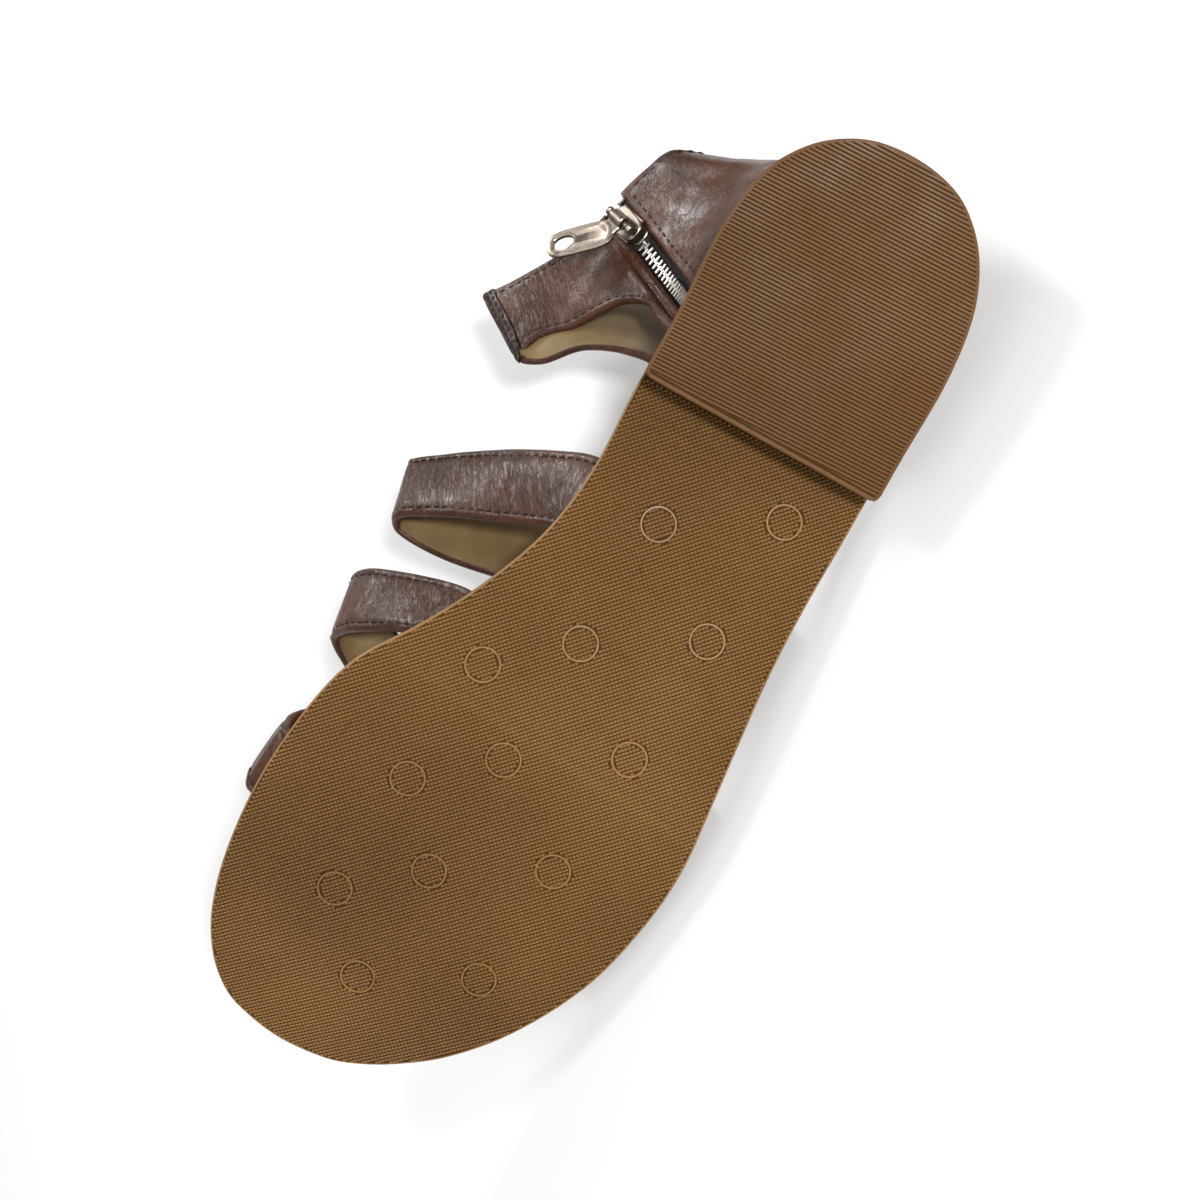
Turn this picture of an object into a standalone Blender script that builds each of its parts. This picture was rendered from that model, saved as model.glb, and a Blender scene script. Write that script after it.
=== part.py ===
"""Flat leather sandal for the right foot: crossing straps, closed heel, ankle strap with a medial zip.

It lies on its lateral side, as the photographed shoe does. The shoe is drawn upright in millimetres:
x to the toe, y to the medial side, z from the ground to the foot. lay_down() turns it once at the end.
"""
import math

import bmesh
import bpy
import numpy as np
from mathutils import Matrix, Vector

MM = 0.001

# sizes of the shoe, in mm
LENGTH = 250.0
BALL_WIDTH = 93.6
HEEL_RISE = 13.0
TOE_SPRING = 6.0
LEATHER = 2.2            # strap and counter wall with its lining
GAP = 0.3                # clearance between neighbouring pieces
OUTSOLE = 2.2
TOP_LIFT = 4.4
MIDSOLE = 6.5
INSOLE = 2.4
INSOLE_LEDGE = 4.9       # the wrapped platform shows this much around the insole
WALL_INSET = 1.0         # outer face of the counter inside the sole's outline
ROOT = HEEL_RISE + OUTSOLE + MIDSOLE + 2 * GAP
STRAP_WIDTH = 18.0
BREAST = -57.2           # front face of the heel, on the long axis
BREAST_SKEW = 0.079      # it runs forward to the medial side

# zip in the medial wall
SLIT_HALF = 3.0
CHAIN_WIDTH = 4.4
TAPE_WIDTH = 12.0
SLIDER_LENGTH = 10.0
SLIDER_WIDTH = 7.2
SLIDER_TURN = 8.0        # degrees the slider sits askew on its chain
PULL_LENGTH = 22.5
PULL_WIDTH = 7.8
PULL_NECK = 4.6          # width of the pull beside its eye
PULL_THICK = 1.3
PULL_STANDS = 12.0       # degrees between the pull tab and the wall it rests along
PULL_ASKEW = 38.0        # degrees its plate leans in its own plane, as it hangs in the photograph
EYE_CLEARANCE = 0.35     # between the slider's bar and the pull's eye

# how the shoe lies: angle from the sole's plane to the floor, and the small turns about the other axes
LIE_ROLL = 44.10
LIE_PITCH = -0.90

# sole outline: share of the length from the heel, then medial and lateral half widths as shares of BALL_WIDTH
OUTLINE = (
    (0.0045, 0.098, -0.093),
    (0.0165, 0.172, -0.157),
    (0.040, 0.244, -0.225),
    (0.080, 0.299, -0.286),
    (0.140, 0.310, -0.324),
    (0.220, 0.286, -0.341),
    (0.300, 0.271, -0.361),
    (0.380, 0.250, -0.372),
    (0.450, 0.264, -0.391),
    (0.520, 0.322, -0.422),
    (0.580, 0.395, -0.451),
    (0.640, 0.481, -0.479),
    (0.700, 0.514, -0.482),
    (0.780, 0.521, -0.452),
    (0.860, 0.493, -0.369),
    (0.920, 0.446, -0.268),
    (0.960, 0.386, -0.164),
    (0.985, 0.320, -0.073),
    (0.9976, 0.254, 0.004),
)
HEEL_TIP = -0.003        # y of the two ends, as shares of BALL_WIDTH
TOE_TIP = 0.130
TOE_BULGE = 1.0          # the toe's curve past the table's last share

# the counter and ankle strap: ribs around the ankle, from the front fold along the medial side and back.
# lower end, upper end, share of the height over which the rib stands upright, and how it then leans (1 is straight)
CUFF = (
    (-37.4, 53.3, 59.3, -45.6, 71.8, 78.2, 0.0, 1.0),
    (-45.0, 53.2, 59.9, -53.9, 66.6, 73.1, 0.0, 1.0),
    (-52.3, 46.7, 57.0, -65.1, 60.6, 68.1, 0.0, 1.0),
    (-59.5, 42.8, 53.0, -72.3, 58.0, 65.7, 0.0, 1.1),
    (-65.0, 39.3, 48.5, -75.6, 56.4, 64.4, 0.0, 1.2),
    (-68.7, 33.0, 38.0, -78.0, 56.0, 63.8, 0.0, 1.4),
    (-67.6, 24.6, 22.3, -79.3, 55.8, 63.4, 0.1, 1.7),
    (-70.4, 25.1, 22.3, -80.5, 55.6, 63.2, 0.1, 1.7),
    (-76.6, 26.2, 22.3, -87.2, 55.2, 63.1, 0.1, 1.7),
    (-90.0, 27.7, 22.3, -95.8, 52.9, 62.6, 0.1, 1.7),
    (-104.5, 26.7, 22.3, -103.0, 49.9, 62.2, 0.1, 1.7),
    (-114.4, 22.0, 22.3, -106.2, 41.8, 62.2, 0.1, 1.6),
    (-122.0, 11.5, 22.3, -107.8, 31.5, 62.1, 0.1, 1.4),
    (-123.4, -4.0, 22.3, -107.5, 23.0, 61.0, 0.1, 1.2),
    (-115.0, -19.8, 22.3, -104.5, 16.0, 60.5, 0.1, 1.1),
    (-100.0, -27.5, 22.3, -97.0, 10.5, 61.5, 0.1, 1.05),
    (-80.0, -30.1, 22.3, -84.0, 7.0, 64.5, 0.1, 1.0),
    (-64.0, -31.3, 22.3, -73.0, 14.0, 68.3, 0.1, 1.0),
    (-61.6, -29.0, 27.5, -71.2, 20.8, 70.0, 0.0, 1.0),
    (-58.5, -9.0, 33.0, -66.4, 33.0, 72.0, 0.0, 1.0),
    (-56.6, 12.0, 40.0, -62.2, 44.0, 73.2, 0.0, 1.0),
    (-55.4, 27.5, 46.5, -58.0, 50.5, 74.5, 0.0, 1.0),
    (-49.4, 40.0, 53.9, -52.2, 60.6, 76.5, 0.0, 1.0),
    (-40.4, 47.1, 58.4, -46.8, 68.2, 77.9, 0.0, 1.0),
)
ZIP_RIB = 7.5            # the zip runs halfway between the eighth and ninth rib

# straps: centre line from the medial root to the lateral root, and the direction of the width
INSTEP = (
    (-23.3, 22.4, 17.1, 1.00, 0.02, -0.19),
    (-20.8, 27.8, 23.5, 0.95, -0.08, -0.28),
    (-12.0, 41.0, 35.0, 0.84, -0.18, -0.50),
    (-2.3, 54.0, 46.0, 0.71, -0.20, -0.68),
    (5.2, 61.0, 53.8, 0.63, -0.27, -0.73),
    (8.4, 56.6, 58.8, 0.75, -0.12, -0.62),
    (6.0, 42.0, 55.5, 0.86, -0.02, -0.46),
    (-0.5, 22.0, 45.0, 0.93, 0.18, -0.35),
    (-8.0, -5.0, 31.0, 0.94, 0.20, -0.25),
    (-12.5, -22.0, 25.0, 0.97, 0.10, -0.16),
    (-14.3, -33.0, 21.0, 1.00, -0.06, -0.17),
    (-14.5, -34.6, 18.2, 1.00, -0.08, -0.17),
    (-14.6, -34.7, 15.7, 1.00, -0.08, -0.17),
)
INSTEP_WIDTH = 20.0
FORE_REAR = (
    (16.6, 33.2, 10.8, 0.88, 0.46, -0.10),
    (18.7, 38.3, 16.0, 0.88, 0.35, -0.25),
    (25.4, 48.4, 24.8, 0.90, 0.05, -0.45),
    (31.7, 55.1, 32.7, 0.86, -0.22, -0.50),
    (37.2, 56.0, 39.2, 0.84, -0.25, -0.48),
    (41.8, 47.4, 41.8, 0.86, -0.20, -0.42),
    (46.5, 28.0, 37.5, 0.90, 0.05, -0.40),
    (54.0, 2.0, 29.2, 0.92, 0.20, -0.33),
    (61.5, -24.0, 20.5, 0.93, 0.30, -0.20),
    (66.3, -37.2, 15.8, 0.94, 0.30, -0.06),
    (67.5, -40.5, 12.6, 0.95, 0.29, 0.00),
    (67.6, -40.8, 9.8, 0.95, 0.29, 0.00),
)
FORE_FRONT = (
    (70.5, 47.0, 9.6, 1.00, -0.01, 0.00),
    (70.6, 51.6, 14.4, 1.00, 0.02, -0.10),
    (67.2, 51.2, 21.8, 0.96, 0.10, -0.20),
    (60.0, 38.0, 29.8, 0.94, 0.22, -0.25),
    (50.5, 14.0, 31.8, 0.93, 0.30, -0.22),
    (42.0, -8.0, 27.0, 0.93, 0.30, -0.20),
    (34.5, -27.0, 20.0, 0.95, 0.25, -0.12),
    (30.2, -39.0, 15.8, 0.98, -0.02, -0.04),
    (29.5, -42.4, 12.8, 0.98, -0.11, -0.04),
    (29.4, -42.7, 10.2, 0.98, -0.11, -0.04),
)


def clear_scene():
    for item in list(bpy.data.objects):
        bpy.data.objects.remove(item, do_unlink=True)


def material(name, colour, rough, metal=0.0):
    slot = bpy.data.materials.new(name)
    slot.use_nodes = True
    node = slot.node_tree.nodes["Principled BSDF"]
    node.inputs["Base Color"].default_value = (*colour, 1.0)
    node.inputs["Roughness"].default_value = rough
    node.inputs["Metallic"].default_value = metal
    slot.diffuse_color = (*colour, 1.0)
    return slot


def solid(name, points, faces, slot):
    """A closed mesh from points in mm, with its faces turned outward."""
    mesh = bpy.data.meshes.new(name)
    mesh.from_pydata([tuple(float(c) * MM for c in p) for p in points], [], [tuple(f) for f in faces])
    made = bmesh.new()
    made.from_mesh(mesh)
    bmesh.ops.remove_doubles(made, verts=made.verts, dist=1e-6)
    bmesh.ops.recalc_face_normals(made, faces=made.faces)
    made.to_mesh(mesh)
    made.free()
    item = bpy.data.objects.new(name, mesh)
    item.data.materials.append(slot)
    bpy.context.scene.collection.objects.link(item)
    return item


def curve_through(rows, steps, closed=False):
    """Centripetal curve through the rows; steps points for each span."""
    rows = np.asarray(rows, float)
    count = len(rows)
    spans = count if closed else count - 1
    out = []
    for i in range(spans):
        pick = [(i + k) % count if closed else min(max(i + k, 0), count - 1) for k in (-1, 0, 1, 2)]
        p0, p1, p2, p3 = rows[pick]
        knots = [0.0]
        for a, b in ((p0, p1), (p1, p2), (p2, p3)):
            knots.append(knots[-1] + max(np.linalg.norm((b - a)[:3]), 1e-3) ** 0.5)
        t0, t1, t2, t3 = knots
        m1 = (p2 - p0) / (t2 - t0) if (not np.allclose(p0, p1)) else (p2 - p1) / (t2 - t1)
        m2 = (p3 - p1) / (t3 - t1) if (not np.allclose(p2, p3)) else (p2 - p1) / (t2 - t1)
        for s in np.arange(steps) / steps:
            h = (2 * s**3 - 3 * s**2 + 1, s**3 - 2 * s**2 + s, -2 * s**3 + 3 * s**2, s**3 - s**2)
            out.append(h[0] * p1 + h[1] * m1 * (t2 - t1) + h[2] * p2 + h[3] * m2 * (t2 - t1))
    if not closed:
        out.append(rows[-1])
    return np.array(out)


def outline_loop():
    heel = [(-LENGTH / 2, HEEL_TIP * BALL_WIDTH)]
    toe = [(LENGTH / 2 + TOE_BULGE, TOE_TIP * BALL_WIDTH)]
    medial = [((t - 0.5) * LENGTH, m * BALL_WIDTH) for t, m, _ in OUTLINE]
    lateral = [((t - 0.5) * LENGTH, s * BALL_WIDTH) for t, _, s in OUTLINE]
    return curve_through(heel + medial + toe + lateral[::-1], 8, closed=True)


def inset(loop, amount):
    step = np.roll(loop, -1, 0) - np.roll(loop, 1, 0)
    normal = np.stack([step[:, 1], -step[:, 0]], 1)
    normal /= np.linalg.norm(normal, axis=1)[:, None]
    return loop + normal * amount


LOOP = outline_loop()


def half_widths(amount):
    """x range and the two edges of the outline drawn in by amount."""
    loop = inset(LOOP, amount)
    low, high = int(loop[:, 0].argmin()), int(loop[:, 0].argmax())
    order = np.roll(np.arange(len(loop)), -low)
    cut = int(np.where(order == high)[0][0])
    medial, lateral = loop[order[:cut + 1]], loop[np.append(order[cut:], low)][::-1]
    return loop[low, 0], loop[high, 0], medial, lateral


def ground(x):
    """Underside of the outsole: flat at the ball, raised over the waist and heel, turned up at the toe."""
    t = x / LENGTH + 0.5
    rise = HEEL_RISE * np.clip((0.62 - t) / 0.32, 0.0, 1.0) ** 1.3
    return rise + TOE_SPRING * np.clip((t - 0.80) / 0.20, 0.0, 1.0) ** 2


def slab(name, slot, amount, low, high, stations=46, front=None, chamfer=0.5, taper=0.0):
    """A layer of the sole between two heights over the ground, lofted from the heel to the toe or the breast."""
    x0, x1, medial, lateral = half_widths(amount)
    end = x1 if front is None else front
    if front is None:
        xs = (x0 + end) / 2 - (end - x0 - 0.04) / 2 * np.cos(np.linspace(0, math.pi, stations))
    else:
        xs = x0 + 0.02 + (end - x0 - 0.02) * (1 - np.cos(np.linspace(0, math.pi / 2, stations)))
    points = []
    for x in xs:
        m = np.interp(x, medial[:, 0], medial[:, 1])
        s = np.interp(x, lateral[:, 0], lateral[:, 1])
        a, b = low(x), high(x)
        c = min(chamfer, 0.3 * (m - s), 0.35 * (b - a))
        skew = 0.0 if front is None else BREAST_SKEW * ((x - x0) / (end - x0)) ** 2
        ring = ((s + c, a), (m - c, a), (m, a + c), (m - taper, b - c), (m - taper - c, b),
                (s + taper + c, b), (s + taper, b - c), (s, a + c))
        points += [(x + skew * y, y, z) for y, z in ring]
    n = 8
    faces = [[i * n + k, i * n + (k + 1) % n, (i + 1) * n + (k + 1) % n, (i + 1) * n + k]
             for i in range(len(xs) - 1) for k in range(n)]
    faces += [list(range(n)), [(len(xs) - 1) * n + k for k in range(n)]]
    return solid(name, points, faces, slot)


def grid_normals(grid, closed):
    if closed:
        du = np.roll(grid, -1, 0) - np.roll(grid, 1, 0)
    else:
        du = np.gradient(grid, axis=0)
    dv = np.gradient(grid, axis=1)
    normal = np.cross(du, dv)
    return normal / np.linalg.norm(normal, axis=2)[:, :, None]


def sheet(name, slot, grid, thick, closed=False, keep=None, outward=1.0, level=-1e3):
    """A wall of even thickness: grid is its outer face, keep marks the cells that exist."""
    nu, nv = grid.shape[:2]
    inner = grid - outward * thick * grid_normals(grid, closed)
    inner[..., 2] = np.maximum(inner[..., 2], level)
    points = np.concatenate([grid.reshape(-1, 3), inner.reshape(-1, 3)])
    cells = nu if closed else nu - 1
    keep = np.ones((cells, nv - 1), bool) if keep is None else keep
    back = nu * nv

    def node(i, j):
        return (i % nu) * nv + j

    def there(i, j):
        if closed:
            i %= cells
        return 0 <= i < cells and 0 <= j < nv - 1 and keep[i, j]

    faces = []
    for i in range(cells):
        for j in range(nv - 1):
            if not keep[i, j]:
                continue
            ring = [node(i, j), node(i + 1, j), node(i + 1, j + 1), node(i, j + 1)]
            faces.append(ring)
            faces.append([k + back for k in ring[::-1]])
            for k, (di, dj) in enumerate(((0, -1), (1, 0), (0, 1), (-1, 0))):
                if not there(i + di, j + dj):
                    a, b = ring[k], ring[(k + 1) % 4]
                    faces.append([a, a + back, b + back, b])
    used = sorted({k for f in faces for k in f})
    at = {k: n for n, k in enumerate(used)}
    return solid(name, points[used], [[at[k] for k in f] for f in faces], slot)


def rib_grid(steps_u=4, steps_v=7):
    """Outer face of the cuff: columns follow the ribs, rows rise from the lower edge to the upper one."""
    ribs = curve_through(CUFF, steps_u, closed=True)
    rim = inset(LOOP, WALL_INSET)
    rim = np.concatenate([rim + (np.roll(rim, -1, 0) - rim) * k / 8 for k in range(8)])
    for rib in ribs:
        if rib[2] < ROOT + 0.4:
            rib[:2] = rim[np.linalg.norm(rim - rib[:2], axis=1).argmin()]
            rib[2] = ROOT
    v = np.linspace(0, 1, steps_v)[None, :, None]
    low, high, start, sweep = ribs[:, None, :3], ribs[:, None, 3:6], ribs[:, None, 6:7], ribs[:, None, 7:8]
    lean = np.clip((v - start) / (1 - start), 0.0, 1.0) ** sweep
    return low + (high - low) * np.concatenate([lean, lean, v + 0 * lean], 2)


def zip_frame(share, out=0.0):
    """Point on the zip line, and its axes: along the zip, across it to the toe, and out of the wall."""
    grid = rib_grid(4, 25)
    column = int(ZIP_RIB * 4)
    line, side = grid[column], grid[column - 1] - grid[column + 1]
    x = share * 24
    point = np.array([np.interp(x, np.arange(25), line[:, k]) for k in range(3)])
    low, high = max(x - 2, 0), min(x + 2, 24)
    up = np.array([np.interp(high, np.arange(25), line[:, k]) - np.interp(low, np.arange(25), line[:, k])
                   for k in range(3)])
    across = np.array([np.interp(x, np.arange(25), side[:, k]) for k in range(3)])
    up /= np.linalg.norm(up)
    normal = np.cross(across, up)
    normal /= np.linalg.norm(normal)
    if normal[1] < 0:
        normal = -normal
    across = np.cross(up, normal)
    across *= np.sign(across[0])
    return point + normal * out, up, across, normal




def cuff(slot):
    steps_u, steps_v = 4, 9
    grid = rib_grid(steps_u, steps_v)
    column = int(ZIP_RIB * steps_u)
    start = 1
    for j in range(steps_v):
        point, up, across, normal = zip_frame(j / (steps_v - 1))
        grid[column - 1, j] = point + across * SLIT_HALF
        grid[column + 1, j] = point - across * SLIT_HALF
    keep = np.ones((len(grid), steps_v - 1), bool)
    keep[column - 1:column + 1, start:] = False
    return sheet("cuff", slot, grid, LEATHER, closed=True, keep=keep, outward=side_of(grid), level=ROOT)


def side_of(grid):
    """Sign that makes grid_normals point away from the ankle."""
    normal = grid_normals(grid, True)
    centre = grid.mean(axis=(0, 1))
    return 1.0 if ((grid - centre) * normal).sum() > 0 else -1.0


def band(name, slot, rows, width=STRAP_WIDTH, steps=4, across=4, crown=0.5, lift=0.0):
    """A strap along a centre line; its outer face is the one away from the foot."""
    path = curve_through(rows, steps)
    centre, wide = path[:, :3], path[:, 3:6]
    wide = wide / np.linalg.norm(wide, axis=1)[:, None]
    tangent = np.gradient(centre, axis=0)
    tangent /= np.linalg.norm(tangent, axis=1)[:, None]
    normal = np.cross(tangent, wide)
    normal /= np.linalg.norm(normal, axis=1)[:, None]
    foot = np.array([centre[:, 0].mean(), 5.0, 12.0])
    if ((centre - foot) * normal).sum() < 0:
        normal = -normal
    s = np.linspace(-1, 1, across + 1)
    grid = (centre[:, None] + wide[:, None] * (s[None, :, None] * width / 2)
            + normal[:, None] * (lift - crown * s[None, :, None] ** 2))
    flip = (grid_normals(grid, False) * normal[:, None]).sum()
    return sheet(name, slot, grid, LEATHER, outward=1.0 if flip > 0 else -1.0)


def block(name, slot, centre, axes, size, chamfer=0.0):
    """Box on a frame of its own, its edges along the first axis chamfered."""
    a, b, c = (np.asarray(v) * s / 2 for v, s in zip(axes, size))
    if chamfer:
        ub, uc = b / np.linalg.norm(b) * chamfer, c / np.linalg.norm(c) * chamfer
        ring = [b - ub + c, b + c - uc, b - c + uc, b - ub - c, -b + ub - c, -b - c + uc, -b + c - uc, -b + ub + c]
    else:
        ring = [b + c, b - c, -b - c, -b + c]
    n = len(ring)
    points = [centre - a + r for r in ring] + [centre + a + r for r in ring]
    faces = [[k, (k + 1) % n, n + (k + 1) % n, n + k] for k in range(n)]
    faces += [list(range(n)), list(range(n, 2 * n))]
    return solid(name, points, faces, slot)


def join(first, others, operation="UNION"):
    """Boolean of closed bodies into the first one, applied."""
    for other in others:
        step = first.modifiers.new("join", "BOOLEAN")
        step.operation = operation
        step.solver = "EXACT"
        step.object = other
        graph = bpy.context.evaluated_depsgraph_get()
        mesh = bpy.data.meshes.new_from_object(first.evaluated_get(graph))
        first.modifiers.clear()
        first.data = mesh
        bpy.data.objects.remove(other, do_unlink=True)
    return first


def rod(name, slot, start, end, radius, sides=12):
    start, end = np.asarray(start), np.asarray(end)
    axis = (end - start) / np.linalg.norm(end - start)
    side = np.cross(axis, (0.0, 0.0, 1.0))
    side /= np.linalg.norm(side)
    other = np.cross(axis, side)
    turn = np.arange(sides) * 2 * math.pi / sides
    ring = [radius * (math.cos(t) * side + math.sin(t) * other) for t in turn]
    points = [start + r for r in ring] + [end + r for r in ring]
    faces = [[k, (k + 1) % sides, sides + (k + 1) % sides, sides + k] for k in range(sides)]
    faces += [list(range(sides)), list(range(sides, 2 * sides))]
    return solid(name, points, faces, slot)


def strip_along_zip(name, slot, low, high, width, out, thick, steps=12):
    """Strip that follows the zip line; out is the height of its outer face over the wall's."""
    rows = []
    for share in np.linspace(low, high, steps + 1):
        point, up, across, normal = zip_frame(share, out)
        rows.append([point - across * width / 2, point, point + across * width / 2])
    grid = np.array(rows)
    normal = zip_frame((low + high) / 2)[3]
    flip = (grid_normals(grid, False) * normal).sum()
    return sheet(name, slot, grid, thick, outward=1.0 if flip > 0 else -1.0)


SLIDER_AT = 0.86         # share of the wall's height at the slider's middle
BAR_RADIUS = 0.75
BAR_OUT = 4.5            # bar's centre over the wall


def slider_frame():
    point, up, across, normal = zip_frame(SLIDER_AT)
    turn = math.radians(SLIDER_TURN)
    return point, up * math.cos(turn) + across * math.sin(turn), across * math.cos(turn) - up * math.sin(turn), normal


def slider(slot):
    point, up, across, normal = slider_frame()
    axes = (up, across, normal)
    plate = block("zip_slider", slot, point + normal * 1.25, axes, (SLIDER_LENGTH, SLIDER_WIDTH, 1.5), 0.4)
    half = SLIDER_LENGTH / 2 - 0.9
    posts = [block("post", slot, point + normal * 3.2 + up * s * half, axes, (1.4, 2.2, 4.2), 0.3) for s in (-1, 1)]
    bar = rod("bar", slot, point + normal * BAR_OUT - up * half, point + normal * BAR_OUT + up * half, BAR_RADIUS)
    return join(plate, posts + [bar])


def pull_frame():
    point, up, across, normal = slider_frame()
    hinge = point + normal * BAR_OUT
    lean = math.radians(PULL_STANDS)
    out = across * math.cos(lean) + normal * math.sin(lean)
    face = np.cross(up, out)
    face *= np.sign(np.dot(face, normal))
    return hinge, up, out, face


def pull(slot):
    """Pull tab: an eye around the slider's bar and a plate with an oval hole; it swings on the bar."""
    hinge, up, out, face = pull_frame()
    bore = BAR_RADIUS + EYE_CLEARANCE
    outer = bore + 0.9
    half = 2.4
    ring = 16
    turn = np.arange(ring) * 2 * math.pi / ring
    points, faces = [], []
    for along in (-half, half):
        for radius in (outer, bore):
            points += [hinge + up * along + radius * (math.cos(t) * out + math.sin(t) * face) for t in turn]
    for k in range(ring):
        j = (k + 1) % ring
        faces += [[k, j, 2 * ring + j, 2 * ring + k], [ring + k, 3 * ring + k, 3 * ring + j, ring + j],
                  [k, ring + k, ring + j, j], [2 * ring + k, 2 * ring + j, 3 * ring + j, 3 * ring + k]]
    eye = solid("zip_pull", points, faces, slot)
    sides = 28
    askew = math.radians(PULL_ASKEW)
    along = out * math.cos(askew) + up * math.sin(askew)
    beside = up * math.cos(askew) - out * math.sin(askew)
    reach = PULL_LENGTH - outer - 2.0
    rim, hole = [], []
    for k in range(sides):
        t = 2 * math.pi * k / sides
        c, s = math.cos(t), math.sin(t)
        rim.append((reach / 2 * (abs(c) ** 0.5) * (1 if c > 0 else -1),
                    0.5 * PULL_WIDTH * (abs(s) ** 0.7) * (1 if s > 0 else -1)))
        hole.append((reach / 2 - 4.6 + 2.9 * c, 2.0 * s))
    middle = hinge + out * (outer + 2.9) + along * (reach / 2 - 2.6)
    points = [middle + along * x + beside * y + face * z for z in (-PULL_THICK / 2, PULL_THICK / 2)
              for path in (rim, hole) for x, y in path]
    faces = []
    for k in range(sides):
        j = (k + 1) % sides
        faces += [[k, j, sides + j, sides + k], [2 * sides + k, 3 * sides + k, 3 * sides + j, 2 * sides + j],
                  [k, 2 * sides + k, 2 * sides + j, j], [sides + k, sides + j, 3 * sides + j, 3 * sides + k]]
    neck = block("neck", slot, hinge + out * (outer + 1.2), (out, up, face), (4.0, PULL_NECK, PULL_THICK), 0.2)
    plate = solid("plate", points, faces, slot)
    return join(eye, [neck, plate])


def lay_down():
    """Turn the upright shoe onto its lateral side, then centre it on the floor."""
    roll, pitch = math.radians(LIE_ROLL), math.radians(LIE_PITCH)
    up = Vector((math.sin(pitch), math.cos(pitch) * math.sin(roll), -math.cos(pitch) * math.cos(roll)))
    along = (Vector((1, 0, 0)) - up * up.x).normalized()
    turn = Matrix((along, up.cross(along), up))
    items = [item for item in bpy.data.objects if item.type == "MESH"]
    for item in items:
        item.data.transform(turn.to_4x4())
    corners = np.array([v.co for item in items for v in item.data.vertices])
    low, high = corners.min(0), corners.max(0)
    move = Vector((-(low[0] + high[0]) / 2, -(low[1] + high[1]) / 2, -low[2]))
    for item in items:
        item.data.transform(Matrix.Translation(move))
    return turn, move


def place_origin(item, point, turn, move):
    at = turn @ Vector(point) * MM + move
    item.data.transform(Matrix.Translation(-at))
    item.location = at


def build():
    clear_scene()
    rubber = material("rubber_tan", (0.16, 0.083, 0.034), 0.62)
    lift = material("lift_tan", (0.15, 0.075, 0.032), 0.6)
    brown = material("leather_brown", (0.075, 0.03, 0.017), 0.38)
    edge = material("leather_platform", (0.05, 0.02, 0.011), 0.42)
    tan = material("insole_tan", (0.42, 0.29, 0.16), 0.6)
    cloth = material("tape_dark", (0.02, 0.014, 0.01), 0.9)
    steel = material("metal_nickel", (0.55, 0.53, 0.5), 0.3, 1.0)

    slab("outsole", rubber, 0.0, lambda x: ground(x), lambda x: ground(x) + OUTSOLE)
    slab("midsole", edge, 0.7, lambda x: ground(x) + OUTSOLE + GAP,
         lambda x: ground(x) + OUTSOLE + GAP + MIDSOLE, chamfer=1.2)
    foot = OUTSOLE + MIDSOLE + 2 * GAP
    slab("insole", tan, INSOLE_LEDGE, lambda x: ground(x) + foot, lambda x: ground(x) + foot + INSOLE,
         stations=40, chamfer=0.6)
    slab("top_lift", lift, -0.2, lambda x: 0.0, lambda x: TOP_LIFT, stations=26, front=BREAST + 0.6, chamfer=0.4)
    slab("heel_block", edge, 0.9, lambda x: TOP_LIFT + GAP, lambda x: ground(x) - GAP,
         stations=24, front=BREAST, chamfer=0.4)
    cuff(brown)
    band("strap_instep", brown, INSTEP, INSTEP_WIDTH)
    rear = band("strap_forefoot", brown, FORE_REAR)
    join(rear, [band("front", brown, FORE_FRONT)])
    strip_along_zip("zip_tape", cloth, 0.10, 0.97, TAPE_WIDTH, -LEATHER - GAP, 0.8)
    strip_along_zip("zip_chain", steel, 0.19, 0.97, CHAIN_WIDTH, 0.1, 2.1)
    slider(steel)
    tab = pull(steel)
    turn, move = lay_down()
    place_origin(tab, pull_frame()[0], turn, move)


build()
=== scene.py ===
"""Dressed flat leather sandal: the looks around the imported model.

Forms are drawn upright in millimetres (x to the toe, y to the medial side, z from the ground to the foot)
and turned once into the lying model's frame by place().
"""
import math

import bpy
import numpy as np
from mathutils import Matrix, Vector, noise

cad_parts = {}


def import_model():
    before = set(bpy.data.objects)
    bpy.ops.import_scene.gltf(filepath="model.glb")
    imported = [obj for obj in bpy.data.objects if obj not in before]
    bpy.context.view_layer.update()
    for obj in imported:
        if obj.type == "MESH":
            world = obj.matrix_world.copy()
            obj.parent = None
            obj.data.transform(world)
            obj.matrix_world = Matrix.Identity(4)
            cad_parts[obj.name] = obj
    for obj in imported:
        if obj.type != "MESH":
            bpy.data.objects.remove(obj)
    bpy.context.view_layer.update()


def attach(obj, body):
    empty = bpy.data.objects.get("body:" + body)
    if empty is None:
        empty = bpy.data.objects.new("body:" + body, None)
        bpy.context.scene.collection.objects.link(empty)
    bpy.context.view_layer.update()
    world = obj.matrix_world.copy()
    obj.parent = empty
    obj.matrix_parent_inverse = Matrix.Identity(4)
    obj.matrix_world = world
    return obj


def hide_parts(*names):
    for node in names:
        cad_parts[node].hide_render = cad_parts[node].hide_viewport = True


MM = 0.001
TURN = np.array([[0.999877, 0.010931, -0.01128], [0.0, -0.718126, -0.695913], [-0.015707, 0.695827, -0.718038]])
MOVE = np.array([-0.000405, 0.036945, 0.040168])

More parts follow.
